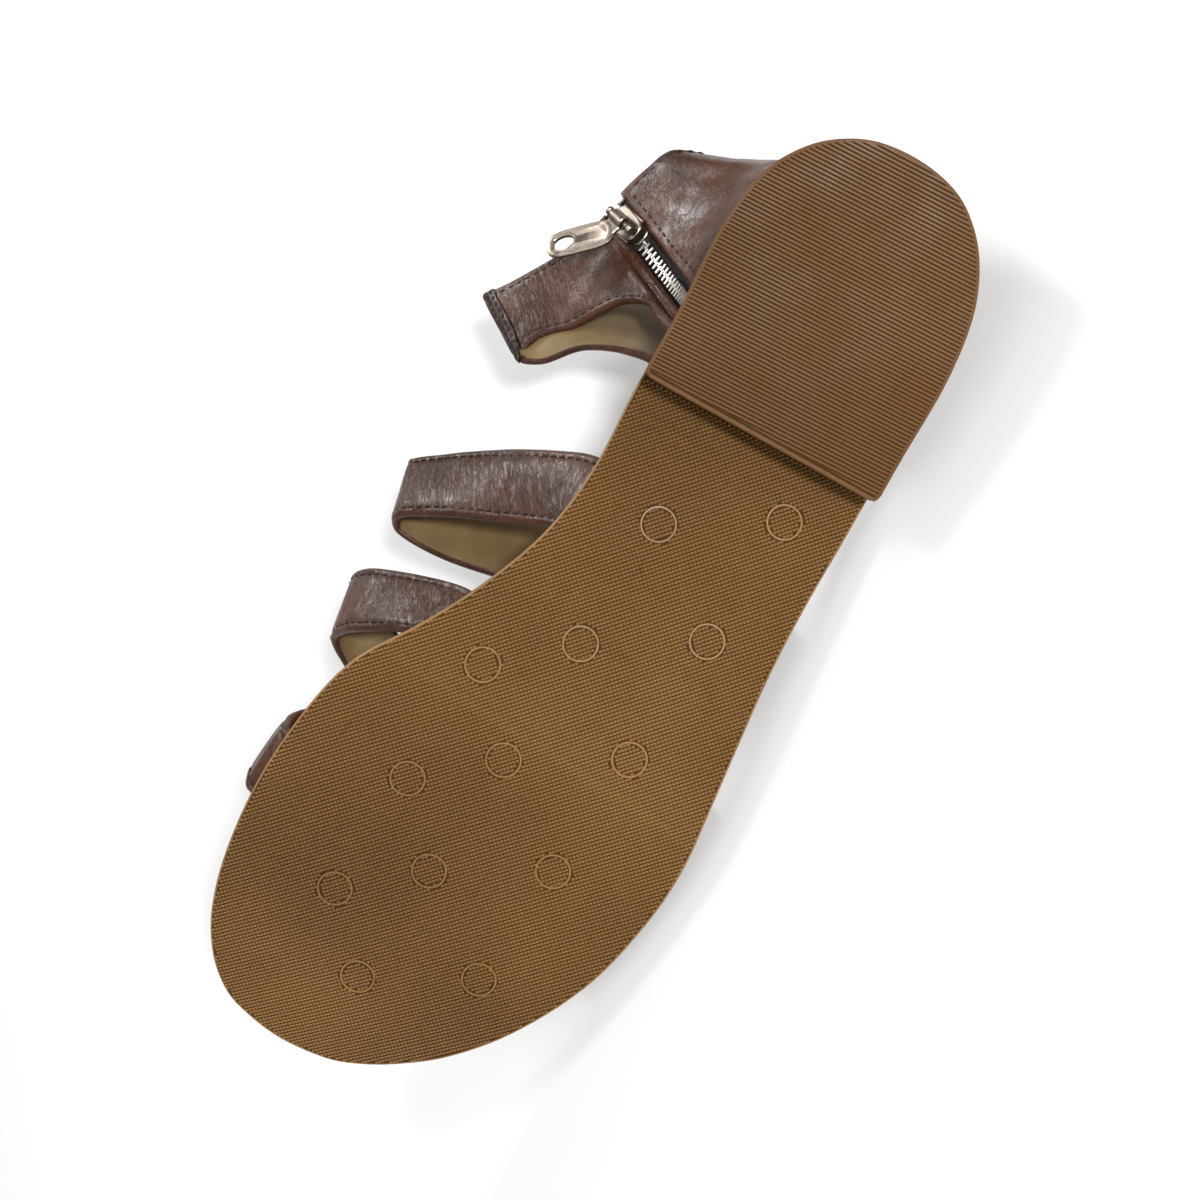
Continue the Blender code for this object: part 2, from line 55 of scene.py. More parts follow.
# sizes of the model, in mm
LENGTH = 250.0
BALL_WIDTH = 93.6
HEEL_RISE = 13.0
TOE_SPRING = 6.0
LEATHER = 2.2
OUTSOLE = 2.2
TOP_LIFT = 4.4
PLATFORM_TOP = 9.1        # over the ground line
INSOLE_TOP = 11.7
INSOLE_LEDGE = 4.9
WALL_INSET = 1.0
ROOT = 22.3
STRAP_WIDTH = 18.0
INSTEP_WIDTH = 20.0
BREAST = -57.2
BREAST_SKEW = 0.079
SLIT_HALF = 3.0
TAPE_WIDTH = 12.0
SLIDER_AT = 0.86
BAR_OUT = 4.5
PULL_STANDS = 12.0
PULL_ASKEW = 38.0
SLIDER_TURN = 8.0
PULL_LENGTH = 22.5
PULL_WIDTH = 7.8
EDGE_STITCH = 2.1         # stitch line to the leather's edge

# the sole's profile, as shares of the length from the heel
WAIST_FROM = 0.62
WAIST_SPAN = 0.32
WAIST_POWER = 1.3
WAIST_SOFT = 0.07         # the waist's two bends are rounded over these shares of its span
WAIST_START = 0.06
TOE_FROM = 0.80

# low relief, in mm
TREAD_RELIEF = 0.36
KNURL_PITCH = 0.855
KNURL_LEAN = math.radians(38.5)
KNURL_SKEW = 0.06
RING_RADIUS = 4.0
RIB_RELIEF = 0.30
RIB_PITCH = 0.877
RIB_WAY = (0.117, 0.993)  # direction of the heel's ribs
RIB_END = 1.05            # ribs to the breast line
TOOTH_PITCH = 1.75
STRAP_STEPS = 14
CROSSING = ((49.5, 13.5, 32.0), 1.6, 15.0)    # where the toe strap dips under the rear one: place, depth, reach

OUTLINE = (
    (0.0045, 0.098, -0.093),
    (0.0165, 0.172, -0.157),
    (0.040, 0.244, -0.225),
    (0.080, 0.299, -0.286),
    (0.140, 0.310, -0.324),
    (0.220, 0.286, -0.341),
    (0.300, 0.271, -0.361),
    (0.380, 0.250, -0.372),
    (0.450, 0.264, -0.391),
    (0.520, 0.322, -0.422),
    (0.580, 0.395, -0.451),
    (0.640, 0.481, -0.479),
    (0.700, 0.514, -0.482),
    (0.780, 0.521, -0.452),
    (0.860, 0.493, -0.369),
    (0.920, 0.446, -0.268),
    (0.960, 0.386, -0.164),
    (0.985, 0.320, -0.073),
    (0.9976, 0.254, 0.004),
)
HEEL_TIP = -0.003
TOE_TIP = 0.130
TOE_BULGE = 1.0

CUFF = (
    (-37.4, 53.3, 59.3, -45.6, 71.8, 78.2, 0.0, 1.0),
    (-45.0, 53.2, 59.9, -53.9, 66.6, 73.1, 0.0, 1.0),
    (-52.3, 46.7, 57.0, -65.1, 60.6, 68.1, 0.0, 1.0),
    (-59.5, 42.8, 53.0, -72.3, 58.0, 65.7, 0.0, 1.1),
    (-65.0, 39.3, 48.5, -75.6, 56.4, 64.4, 0.0, 1.2),
    (-68.7, 33.0, 38.0, -78.0, 56.0, 63.8, 0.0, 1.4),
    (-67.6, 24.6, 22.3, -79.3, 55.8, 63.4, 0.1, 1.7),
    (-70.4, 25.1, 22.3, -80.5, 55.6, 63.2, 0.1, 1.7),
    (-76.6, 26.2, 22.3, -87.2, 55.2, 63.1, 0.1, 1.7),
    (-90.0, 27.7, 22.3, -95.8, 52.9, 62.6, 0.1, 1.7),
    (-104.5, 26.7, 22.3, -103.0, 49.9, 62.2, 0.1, 1.7),
    (-114.4, 22.0, 22.3, -106.2, 41.8, 62.2, 0.1, 1.6),
    (-122.0, 11.5, 22.3, -107.8, 31.5, 62.1, 0.1, 1.4),
    (-123.4, -4.0, 22.3, -107.5, 23.0, 61.0, 0.1, 1.2),
    (-115.0, -19.8, 22.3, -104.5, 16.0, 60.5, 0.1, 1.1),
    (-100.0, -27.5, 22.3, -97.0, 10.5, 61.5, 0.1, 1.05),
    (-80.0, -30.1, 22.3, -84.0, 7.0, 64.5, 0.1, 1.0),
    (-64.0, -31.3, 22.3, -73.0, 14.0, 68.3, 0.1, 1.0),
    (-61.6, -29.0, 27.5, -71.2, 20.8, 70.0, 0.0, 1.0),
    (-58.5, -9.0, 33.0, -66.4, 33.0, 72.0, 0.0, 1.0),
    (-56.6, 12.0, 40.0, -62.2, 44.0, 73.2, 0.0, 1.0),
    (-55.4, 27.5, 46.5, -58.0, 50.5, 74.5, 0.0, 1.0),
    (-49.4, 40.0, 53.9, -52.2, 60.6, 76.5, 0.0, 1.0),
    (-40.4, 47.1, 58.4, -46.8, 68.2, 77.9, 0.0, 1.0),
)
ZIP_RIB = 7.5

INSTEP = (
    (-23.3, 22.4, 17.1, 1.00, 0.02, -0.19),
    (-20.8, 27.8, 23.5, 0.95, -0.08, -0.28),
    (-12.0, 41.0, 35.0, 0.84, -0.18, -0.50),
    (-2.3, 54.0, 46.0, 0.71, -0.20, -0.68),
    (5.2, 61.0, 53.8, 0.63, -0.27, -0.73),
    (8.4, 56.6, 58.8, 0.75, -0.12, -0.62),
    (6.0, 42.0, 55.5, 0.86, -0.02, -0.46),
    (-0.5, 22.0, 45.0, 0.93, 0.18, -0.35),
    (-8.0, -5.0, 31.0, 0.94, 0.20, -0.25),
    (-12.5, -22.0, 25.0, 0.97, 0.10, -0.16),
    (-14.3, -33.0, 21.0, 1.00, -0.06, -0.17),
    (-14.5, -34.6, 18.2, 1.00, -0.08, -0.17),
    (-14.6, -34.7, 15.7, 1.00, -0.08, -0.17),
)
FORE_REAR = (
    (16.6, 33.2, 10.8, 0.88, 0.46, -0.10),
    (18.7, 38.3, 16.0, 0.88, 0.35, -0.25),
    (25.4, 48.4, 24.8, 0.90, 0.05, -0.45),
    (31.7, 55.1, 32.7, 0.86, -0.22, -0.50),
    (37.2, 56.0, 39.2, 0.84, -0.25, -0.48),
    (41.8, 47.4, 41.8, 0.86, -0.20, -0.42),
    (46.5, 28.0, 37.5, 0.90, 0.05, -0.40),
    (54.0, 2.0, 29.2, 0.92, 0.20, -0.33),
    (61.5, -24.0, 20.5, 0.93, 0.30, -0.20),
    (66.3, -37.2, 15.8, 0.94, 0.30, -0.06),
    (67.5, -40.5, 12.6, 0.95, 0.29, 0.00),
    (67.6, -40.8, 9.8, 0.95, 0.29, 0.00),
)
FORE_FRONT = (
    (70.5, 47.0, 9.6, 1.00, -0.01, 0.00),
    (70.6, 51.6, 14.4, 1.00, 0.02, -0.10),
    (67.2, 51.2, 21.8, 0.96, 0.10, -0.20),
    (60.0, 38.0, 29.8, 0.94, 0.22, -0.25),
    (50.5, 14.0, 31.8, 0.93, 0.30, -0.22),
    (42.0, -8.0, 27.0, 0.93, 0.30, -0.20),
    (34.5, -27.0, 20.0, 0.95, 0.25, -0.12),
    (30.2, -39.0, 15.8, 0.98, -0.02, -0.04),
    (29.5, -42.4, 12.8, 0.98, -0.11, -0.04),
    (29.4, -42.7, 10.2, 0.98, -0.11, -0.04),
)

# the photograph's camera in the upright shoe's frame
CAMERA_AT = np.array([-69.09, 31.18, -376.17])
CAMERA_AXIS = np.array([0.1736, 0.0258, 0.9845])
IMAGE_RIGHT = np.array([-0.5342, -0.8373, 0.1162])
IMAGE_DOWN = np.array([0.8273, -0.5461, -0.1316])
FOCAL_PIXELS = 1700.0
IMAGE = 1200.0
FRAME_CENTRE = (742.0, 668.0)    # pixel of the photograph that the frame is centred on


def place(points):
    return np.asarray(points, float) @ TURN.T * MM + MOVE


def unit(rows):
    rows = np.asarray(rows, float)
    return rows / np.maximum(np.linalg.norm(rows, axis=-1), 1e-9)[..., None]


# Materials.

def srgb(r, g, b):
    def one(c):
        c /= 255.0
        return c / 12.92 if c <= 0.04045 else ((c + 0.055) / 1.055) ** 2.4
    return (one(r), one(g), one(b))


class Shade:
    """A Principled material and a short way to add nodes to it."""

    def __init__(self, name, rough=0.5, metal=0.0, **sockets):
        self.mat = bpy.data.materials.new(name)
        self.mat.use_nodes = True
        self.tree = self.mat.node_tree
        self.bsdf = self.tree.nodes["Principled BSDF"]
        self.bsdf.inputs["Roughness"].default_value = rough
        self.bsdf.inputs["Metallic"].default_value = metal
        for key, value in sockets.items():
            self.bsdf.inputs[key.replace("_", " ")].default_value = value
        self.coord = self.add("ShaderNodeTexCoord").outputs["Object"]

    def add(self, kind, **inputs):
        node = self.tree.nodes.new(kind)
        for key, value in inputs.items():
            socket = node.inputs[key.replace("_", " ")]
            if isinstance(value, bpy.types.NodeSocket):
                self.tree.links.new(value, socket)
            else:
                socket.default_value = value
        return node

    def set(self, key, output):
        self.tree.links.new(output, self.bsdf.inputs[key])

    def noise(self, scale, detail=3.0, rough=0.5, distortion=0.0, vector=None):
        return self.add("ShaderNodeTexNoise", Vector=vector or self.coord, Scale=scale, Detail=detail,
                        Roughness=rough, Distortion=distortion).outputs["Fac"]

    def cells(self, scale, feature="DISTANCE_TO_EDGE", vector=None):
        node = self.add("ShaderNodeTexVoronoi", Vector=vector or self.coord, Scale=scale)
        node.feature = feature
        return node.outputs["Distance"]

    def ramp(self, value, stops):
        node = self.add("ShaderNodeValToRGB", Fac=value)
        elements = node.color_ramp.elements
        while len(elements) < len(stops):
            elements.new(0.5)
        for element, (at, colour) in zip(elements, stops):
            element.position = at
            element.color = (*colour, 1.0) if hasattr(colour, "__len__") else (colour, colour, colour, 1.0)
        return node.outputs["Color"]

    def mix(self, factor, a, b, kind="MIX"):
        node = self.add("ShaderNodeMix")
        node.data_type = "RGBA"
        node.blend_type = kind
        for socket, value in ((node.inputs[0], factor), (node.inputs[6], a), (node.inputs[7], b)):
            if isinstance(value, bpy.types.NodeSocket):
                self.tree.links.new(value, socket)
            elif hasattr(value, "__len__"):
                socket.default_value = (*value, 1.0)
            else:
                socket.default_value = value
        return node.outputs[2]

    def maths(self, kind, a, b=0.5):
        node = self.add("ShaderNodeMath")
        node.operation = kind
        for socket, value in ((node.inputs[0], a), (node.inputs[1], b)):
            if isinstance(value, bpy.types.NodeSocket):
                self.tree.links.new(value, socket)
            else:
                socket.default_value = value
        return node.outputs[0]

    def bump(self, *layers):
        """layers: (height output, strength, distance in mm)"""
        normal = None
        for height, strength, distance in layers:
            node = self.add("ShaderNodeBump", Strength=strength, Distance=distance * MM, Height=height)
            if normal is not None:
                self.tree.links.new(normal, node.inputs["Normal"])
            normal = node.outputs["Normal"]
        self.set("Normal", normal)


def leather(name, dark, light, rough=0.36, grain=0.9, crease=0.6, coat=0.12):
    s = Shade(name, rough, Coat_Weight=coat, Coat_Roughness=0.22, Specular_IOR_Level=0.32)
    patches = s.noise(55.0, 5.0, 0.6)
    pores = s.cells(1500.0)
    fine = s.noise(2600.0, 3.0, 0.6)
    lines = s.noise(210.0, 6.0, 0.6, 0.5)
    turned = s.add("ShaderNodeMapping", Vector=s.coord, Rotation=(0.0, 0.0, -1.0))
    turned = s.add("ShaderNodeMapping", Vector=turned.outputs["Vector"], Scale=(150.0, 820.0, 600.0))
    folds = s.noise(1.0, 5.0, 0.55, 0.8, vector=turned.outputs["Vector"])
    area = s.ramp(s.noise(42.0, 3.0, 0.5), [(0.42, 0.15), (0.62, 1.0)])
    crinkle = s.ramp(s.maths("ABSOLUTE", s.maths("SUBTRACT", lines, 0.5)), [(0.0, 0.0), (0.03, 1.0)])
    crease_line = s.ramp(s.maths("ABSOLUTE", s.maths("SUBTRACT", folds, 0.5)), [(0.0, 0.0), (0.07, 1.0)])
    colour = s.ramp(patches, [(0.3, dark), (0.7, light)])
    rubbed = s.ramp(s.noise(140.0, 6.0, 0.7), [(0.55, 0.0), (0.8, 0.35)])
    colour = s.mix(rubbed, colour, tuple(min(1.0, c * 1.5) for c in light))
    colour = s.mix(s.ramp(pores, [(0.0, 0.35), (0.07, 0.0)]), colour, tuple(c * 0.4 for c in dark))
    # the fold lines are darkened in colour: painted shade in the creases
    crease_shade = s.maths("MULTIPLY", area, s.ramp(crease_line, [(0.0, 0.75), (1.0, 0.0)]))
    colour = s.mix(crease_shade, colour, tuple(c * 0.4 for c in dark))
    # the fine crinkle lines are darkened in colour: painted shade in the crinkles
    s.set("Base Color", s.mix(s.ramp(crinkle, [(0.0, 0.30), (1.0, 0.0)]), colour, tuple(c * 0.5 for c in dark)))
    s.set("Roughness", s.ramp(s.noise(130.0, 4.0, 0.6), [(0.3, rough - 0.08), (0.75, rough + 0.12)]))
    fold_height = s.maths("MULTIPLY", area, folds)
    fold_line = s.maths("MULTIPLY", area, crease_line)
    s.bump((fold_height, 0.6 * crease, 0.5), (fold_line, 0.5 * crease, 0.2), (lines, 0.5 * crease, 0.3),
           (crinkle, 0.35 * crease, 0.12), (pores, 0.5 * grain, 0.08), (fine, 0.25 * grain, 0.05))
    return s.mat


def lining(name, dark, light):
    s = Shade(name, 0.62, Specular_IOR_Level=0.35)
    colour = s.ramp(s.noise(45.0, 5.0, 0.6), [(0.3, dark), (0.72, light)])
    stain = s.ramp(s.noise(95.0, 5.0, 0.7), [(0.5, 0.0), (0.82, 0.4)])
    colour = s.mix(stain, colour, tuple(c * 0.55 for c in dark))
    pores = s.cells(1500.0)
    s.set("Base Color", s.mix(s.ramp(pores, [(0.0, 0.22), (0.07, 0.0)]), colour, tuple(c * 0.5 for c in dark)))
    s.set("Roughness", s.ramp(s.noise(120.0, 3.0), [(0.3, 0.5), (0.7, 0.72)]))
    s.bump((s.noise(240.0, 5.0, 0.6), 0.3, 0.2), (pores, 0.35, 0.06), (s.noise(3400.0, 2.0), 0.25, 0.03))
    return s.mat


def rubber(name, dark, light, rough=0.5, shine=0.16):
    s = Shade(name, rough, Specular_IOR_Level=shine)
    colour = s.ramp(s.noise(16.0, 3.0, 0.5), [(0.32, dark), (0.68, light)])
    speck = s.ramp(s.noise(900.0, 4.0, 0.7), [(0.4, 0.0), (0.75, 0.28)])
    colour = s.mix(speck, colour, tuple(min(1.0, c * 1.4) for c in light))
    grime = s.ramp(s.noise(34.0, 6.0, 0.72, 0.8), [(0.60, 0.0), (0.80, 0.42)])
    colour = s.mix(grime, colour, tuple(c * 0.42 for c in dark))
    streaks = s.add("ShaderNodeMapping", Vector=s.coord, Scale=(60.0, 420.0, 420.0), Rotation=(0.4, 0.2, 0.5))
    scratch = s.ramp(s.noise(1.0, 5.0, 0.7, 0.2, vector=streaks.outputs["Vector"]), [(0.63, 0.0), (0.72, 0.3)])
    s.set("Base Color", s.mix(scratch, colour, tuple(c * 0.5 for c in dark)))
    s.set("Roughness", s.ramp(s.noise(60.0, 5.0, 0.6), [(0.3, rough - 0.08), (0.75, rough + 0.14)]))
    s.bump((s.noise(1300.0, 3.0, 0.6), 0.3, 0.05), (s.noise(260.0, 4.0), 0.25, 0.12))
    return s.mat


def thread(name, colour):
    s = Shade(name, 0.6, Specular_IOR_Level=0.4)
    s.set("Base Color", s.ramp(s.noise(900.0, 3.0), [(0.3, tuple(c * 0.6 for c in colour)),
                                                      (0.75, tuple(min(1, c * 1.5) for c in colour))]))
    s.bump((s.noise(3000.0, 2.0, vector=s.add("ShaderNodeMapping", Vector=s.coord,
                                              Scale=(1.0, 2.5, 1.0)).outputs["Vector"]), 0.6, 0.08))
    return s.mat


def nickel(name, colour, rough=0.3):
    s = Shade(name, rough, 1.0)
    tarnish = s.ramp(s.noise(420.0, 6.0, 0.7), [(0.45, 0.0), (0.75, 0.55)])
    s.set("Base Color", s.mix(tarnish, colour, tuple(c * 0.45 for c in colour)))
    s.set("Roughness", s.ramp(s.noise(700.0, 5.0, 0.7), [(0.3, rough - 0.08), (0.75, rough + 0.2)]))
    s.bump((s.noise(1500.0, 4.0, 0.6), 0.2, 0.05))
    return s.mat


def woven(name, colour):
    s = Shade(name, 0.85, Sheen_Weight=0.2)
    warp = s.add("ShaderNodeTexWave", Vector=s.coord, Scale=620.0, Distortion=0.6)
    weft = s.add("ShaderNodeTexWave", Vector=s.coord, Scale=540.0, Distortion=0.6)
    weft.bands_direction = "Z"
    cross = s.maths("MULTIPLY", warp.outputs["Fac"], weft.outputs["Fac"])
    s.set("Base Color", s.ramp(cross, [(0.0, tuple(c * 0.5 for c in colour)), (1.0, tuple(c * 1.6 for c in colour))]))
    s.bump((cross, 0.7, 0.12))
    return s.mat


# Curves, layers and bodies.

def curve_through(rows, steps, closed=False):
    """A centripetal curve through rows of numbers; the first three set its pace."""
    rows = np.asarray(rows, float)
    count = len(rows)
    spans = count if closed else count - 1
    out = []
    for i in range(spans):
        pick = [(i + k) % count if closed else min(max(i + k, 0), count - 1) for k in (-1, 0, 1, 2)]
        p0, p1, p2, p3 = rows[pick]
        knots = [0.0]
        for a, b in ((p0, p1), (p1, p2), (p2, p3)):
            knots.append(knots[-1] + max(np.linalg.norm((b - a)[:3]), 1e-3) ** 0.5)
        t0, t1, t2, t3 = knots
        m1 = (p2 - p0) / (t2 - t0) if (not np.allclose(p0, p1)) else (p2 - p1) / (t2 - t1)
        m2 = (p3 - p1) / (t3 - t1) if (not np.allclose(p2, p3)) else (p2 - p1) / (t2 - t1)
        for s in np.arange(steps) / steps:
            h = (2 * s**3 - 3 * s**2 + 1, s**3 - 2 * s**2 + s, -2 * s**3 + 3 * s**2, s**3 - s**2)
            out.append(h[0] * p1 + h[1] * m1 * (t2 - t1) + h[2] * p2 + h[3] * m2 * (t2 - t1))
    if not closed:
        out.append(rows[-1])
    return np.array(out)


def outline_loop(steps):
    heel = [(-LENGTH / 2, HEEL_TIP * BALL_WIDTH)]
    toe = [(LENGTH / 2 + TOE_BULGE, TOE_TIP * BALL_WIDTH)]
    medial = [((t - 0.5) * LENGTH, m * BALL_WIDTH) for t, m, _ in OUTLINE]
    lateral = [((t - 0.5) * LENGTH, s * BALL_WIDTH) for t, _, s in OUTLINE]
    return curve_through(heel + medial + toe + lateral[::-1], steps, closed=True)


def inset(loop, amount):
    step = np.roll(loop, -1, 0) - np.roll(loop, 1, 0)
    normal = np.stack([step[:, 1], -step[:, 0]], 1)
    return loop + unit(normal) * amount


LOOP = outline_loop(24)


def ground(x):
    """Underside of the outsole over the ground line: the waist's rise with soft bends, and the toe spring."""
    t = np.asarray(x) / LENGTH + 0.5
    s = (WAIST_FROM - t) / WAIST_SPAN
    soft_end = 1 - np.maximum(1 + WAIST_SOFT - s, 0.0) ** 2 / (4 * WAIST_SOFT)
    s = np.where(s > 1 - WAIST_SOFT, soft_end, np.maximum(s, 0.0))
    low, full = WAIST_START ** WAIST_POWER, (1 + WAIST_START ** 2) ** (WAIST_POWER / 2)
    rise = HEEL_RISE * ((s * s + WAIST_START ** 2) ** (WAIST_POWER / 2) - low) / (full - low)
    return rise + TOE_SPRING * np.clip((t - TOE_FROM) / (1 - TOE_FROM), 0.0, 1.0) ** 2


def piece(name, points, faces, mats, slot, replaces=(), body="sandal", index=None, sharp=38.0):
    """A mesh from upright points in mm, in the lying frame, riding on its body."""
    mesh = bpy.data.meshes.new(name)
    mesh.from_pydata(place(points).tolist(), [], [list(map(int, f)) for f in faces])
    mesh.validate()
    item = bpy.data.objects.new(name, mesh)
    bpy.context.scene.collection.objects.link(item)
    for mat in mats:
        mesh.materials.append(mat)
    if index is not None:
        mesh.polygons.foreach_set("material_index", np.asarray(index, np.int32))
    mesh.polygons.foreach_set("use_smooth", np.ones(len(mesh.polygons), bool))
    mesh.update()
    mesh.set_sharp_from_angle(angle=math.radians(sharp))
    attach(item, body)
    if replaces:
        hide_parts(*replaces)
    return item


class Build:
    """Collects closed bodies for one piece."""

    def __init__(self):
        self.points, self.faces, self.index, self.count = [], [], [], 0

    def add(self, points, faces, mat=0):
        points = np.asarray(points, float).reshape(-1, 3)
        faces = [[int(k) + self.count for k in f] for f in faces]
        self.points.append(points)
        self.faces += faces
        self.index += (list(mat) if hasattr(mat, "__len__") else [mat] * len(faces))
        self.count += len(points)

    def make(self, name, mats, slot, **more):
        return piece(name, np.concatenate(self.points), self.faces, mats, slot, index=self.index, **more)


def stack(rings, closed=True, caps=True, mats=None):
    """Quads between rings of equal length, with the two ends capped."""
    rings = np.asarray(rings, float)
    count, n = rings.shape[:2]
    faces, index = [], []
    for i in range(count - 1):
        for k in range(n if closed else n - 1):
            j = (k + 1) % n
            faces.append([i * n + k, i * n + j, (i + 1) * n + j, (i + 1) * n + k])
            index.append(mats[k] if mats is not None else 0)
    if caps:
        faces += [list(range(n))[::-1], [(count - 1) * n + k for k in range(n)]]
        index += [0, 0]
    return rings.reshape(-1, 3), faces, index


def stations(amount=0.0, count=110):
    """The sole's outline as two tips and pairs of points at the same station; and how to fill across it."""
    low, high = int(LOOP[:, 0].argmin()), int(LOOP[:, 0].argmax())
    order = np.roll(np.arange(len(LOOP)), -low)
    cut = int(np.where(order == high)[0][0])
    medial, lateral = LOOP[order[:cut + 1]], LOOP[np.append(order[cut:], low)][::-1]
    x0, x1 = LOOP[low, 0], LOOP[high, 0]
    xs = (x0 + x1) / 2 - (x1 - x0) / 2 * np.cos(np.linspace(0, math.pi, count + 2))[1:-1]
    m = np.stack([xs, np.interp(xs, medial[:, 0], medial[:, 1])], 1)
    s = np.stack([xs, np.interp(xs, lateral[:, 0], lateral[:, 1])], 1)
    loop = np.concatenate([[LOOP[low]], m, [LOOP[high]], s[::-1]])
    return inset(loop, amount)


def rounded(low, high, radius_low, radius_high, steps=4):
    """Profile of a layer's side: (inset, height) pairs from the underside to the top."""
    turn = np.linspace(0, math.pi / 2, steps + 1)
    out = [(radius_low * (1 - math.sin(t)), low, radius_low * (1 - math.cos(t))) for t in turn]
    out += [(radius_high * (1 - math.cos(t)), high, -radius_high * (1 - math.sin(t))) for t in turn]
    return out


def fill_pairs(n_loop, base, flip):
    """Faces across a stations() loop: tip, pairs, tip."""
    pairs = (n_loop - 2) // 2
    faces = []
    for i in range(pairs - 1):
        a, b = 1 + i, n_loop - 1 - i
        faces.append([a, a + 1, b - 1, b])
    faces.append([0, 1, n_loop - 1])
    faces.append([pairs, pairs + 1, pairs + 2])
    return [[base + k for k in (f[::-1] if flip else f)] for f in faces]


def layer(b, amount, low, high, radius_low, radius_high, mat=0):
    """A layer of the sole between two height functions of x, added to a Build."""
    loop0 = stations(amount)
    rings = []
    for extra, level, dz in rounded(low, high, radius_low, radius_high):
        loop = inset(loop0, extra)
        z = level(loop[:, 0]) + dz
        rings.append(np.column_stack([loop, z]))
    points, faces, _ = stack(rings, caps=False)
    n = len(loop0)
    faces += fill_pairs(n, 0, True) + fill_pairs(n, (len(rings) - 1) * n, False)
    b.add(points, faces, mat)


def breast_x(y):
    return BREAST + BREAST_SKEW * y


def heel_loop(amount, front=0.0, radius=2.0, step=1.6):
    """The heel's outline, closed by the breast line, with small corners, evenly spaced."""
    loop = inset(LOOP, amount)
    limit = breast_x(loop[:, 1]) + front
    inside = loop[:, 0] < limit - 0.5
    start = int(np.where(~np.roll(inside, 1) & inside)[0][0])
    arc = np.roll(loop, -start, 0)[:int(inside.sum())]
    ends = []
    for a in (arc[0], arc[-1]):
        ends.append(np.array([breast_x(a[1]) + front, a[1]]))
    line = [ends[1] + (ends[0] - ends[1]) * t for t in np.linspace(0, 1, 30)]
    full = np.concatenate([arc, line])
    gap = np.linalg.norm(np.roll(full, -1, 0) - full, axis=1)
    full = full[gap > 1e-4]
    gap = np.linalg.norm(np.roll(full, -1, 0) - full, axis=1)
    at = np.concatenate([[0], np.cumsum(gap)])
    ring = np.concatenate([full, full[:1]])
    even = np.arange(0, at[-1], step)
    out = np.column_stack([np.interp(even, at, ring[:, k]) for k in (0, 1)])
    for _ in range(int(radius)):
        out = (np.roll(out, 1, 0) + 2 * out + np.roll(out, -1, 0)) / 4
    area = 0.5 * np.sum(out[:, 0] * np.roll(out[:, 1], -1) - np.roll(out[:, 0], -1) * out[:, 1])
    return out if area > 0 else out[::-1]


def inset_any(loop, amount):
    """Draws a counter-clockwise loop in."""
    step = np.roll(loop, -1, 0) - np.roll(loop, 1, 0)
    normal = unit(np.stack([-step[:, 1], step[:, 0]], 1))
    return loop + normal * amount


def heel_layer(b, amount, front, low, high, radius_low, radius_high, mat=0):
    loop0 = heel_loop(amount, front)
    rings = []
    for extra, level, dz in rounded(low, high, radius_low, radius_high):
        loop = inset_any(loop0, extra)
        rings.append(np.column_stack([loop, level(loop[:, 0]) + dz]))
    points, faces, _ = stack(rings)
    b.add(points, faces, mat)


def ring_line(b, centre, radius, tube, along, across, mat=0, turns=28, sides=6):
    """A torus that lies in the plane of two directions."""
    normal = np.cross(along, across)
    rings = []
    for a in np.arange(turns) * 2 * math.pi / turns:
        out = math.cos(a) * along + math.sin(a) * across
        rings.append([centre + out * (radius + tube * math.cos(c)) + normal * tube * math.sin(c)
                      for c in np.arange(sides) * 2 * math.pi / sides])
    rings.append(rings[0])
    points, faces, _ = stack(rings, caps=False)
    points, faces = points[:turns * sides], [[k % (turns * sides) for k in f] for f in faces]
    b.add(points, faces, mat)


def noise_at(rows, scale, seed):
    """Smooth noise for rows of points; scale holds the features per mm in each direction."""
    rows = np.asarray(rows, float) * scale
    return np.array([noise.noise(Vector((r[0] + seed, r[1] - seed, r[2] + 2.3 * seed))) for r in rows])


def path_frames(rows, steps):
    """Centre, width, tangent and outward normal along a strap."""
    path = curve_through(rows, steps)
    centre, wide = path[:, :3], unit(path[:, 3:6])
    tangent = unit(np.gradient(centre, axis=0))
    normal = unit(np.cross(tangent, wide))
    foot = np.array([centre[:, 0].mean(), 5.0, 12.0])
    if ((centre - foot) * normal).sum() < 0:
        normal = -normal
    return centre, wide, tangent, normal


def strap_surface(rows, sink=0.8, drop=None):
    """The strap's centre line with its frames; drop bends it away where another strap lies over it."""
    centre, wide, tangent, normal = path_frames(rows, STRAP_STEPS)
    along = np.concatenate([[0], np.cumsum(np.linalg.norm(np.diff(centre, axis=0), axis=1))])
    if drop is not None:
        at, depth, spread = drop
        near = np.exp(-((np.linalg.norm(centre - np.asarray(at), axis=1) / spread) ** 2))
        centre = centre - normal * (depth * near)[:, None]
    centre[0] -= tangent[0] * sink
    centre[-1] += tangent[-1] * sink
    return centre, wide, tangent, normal, along


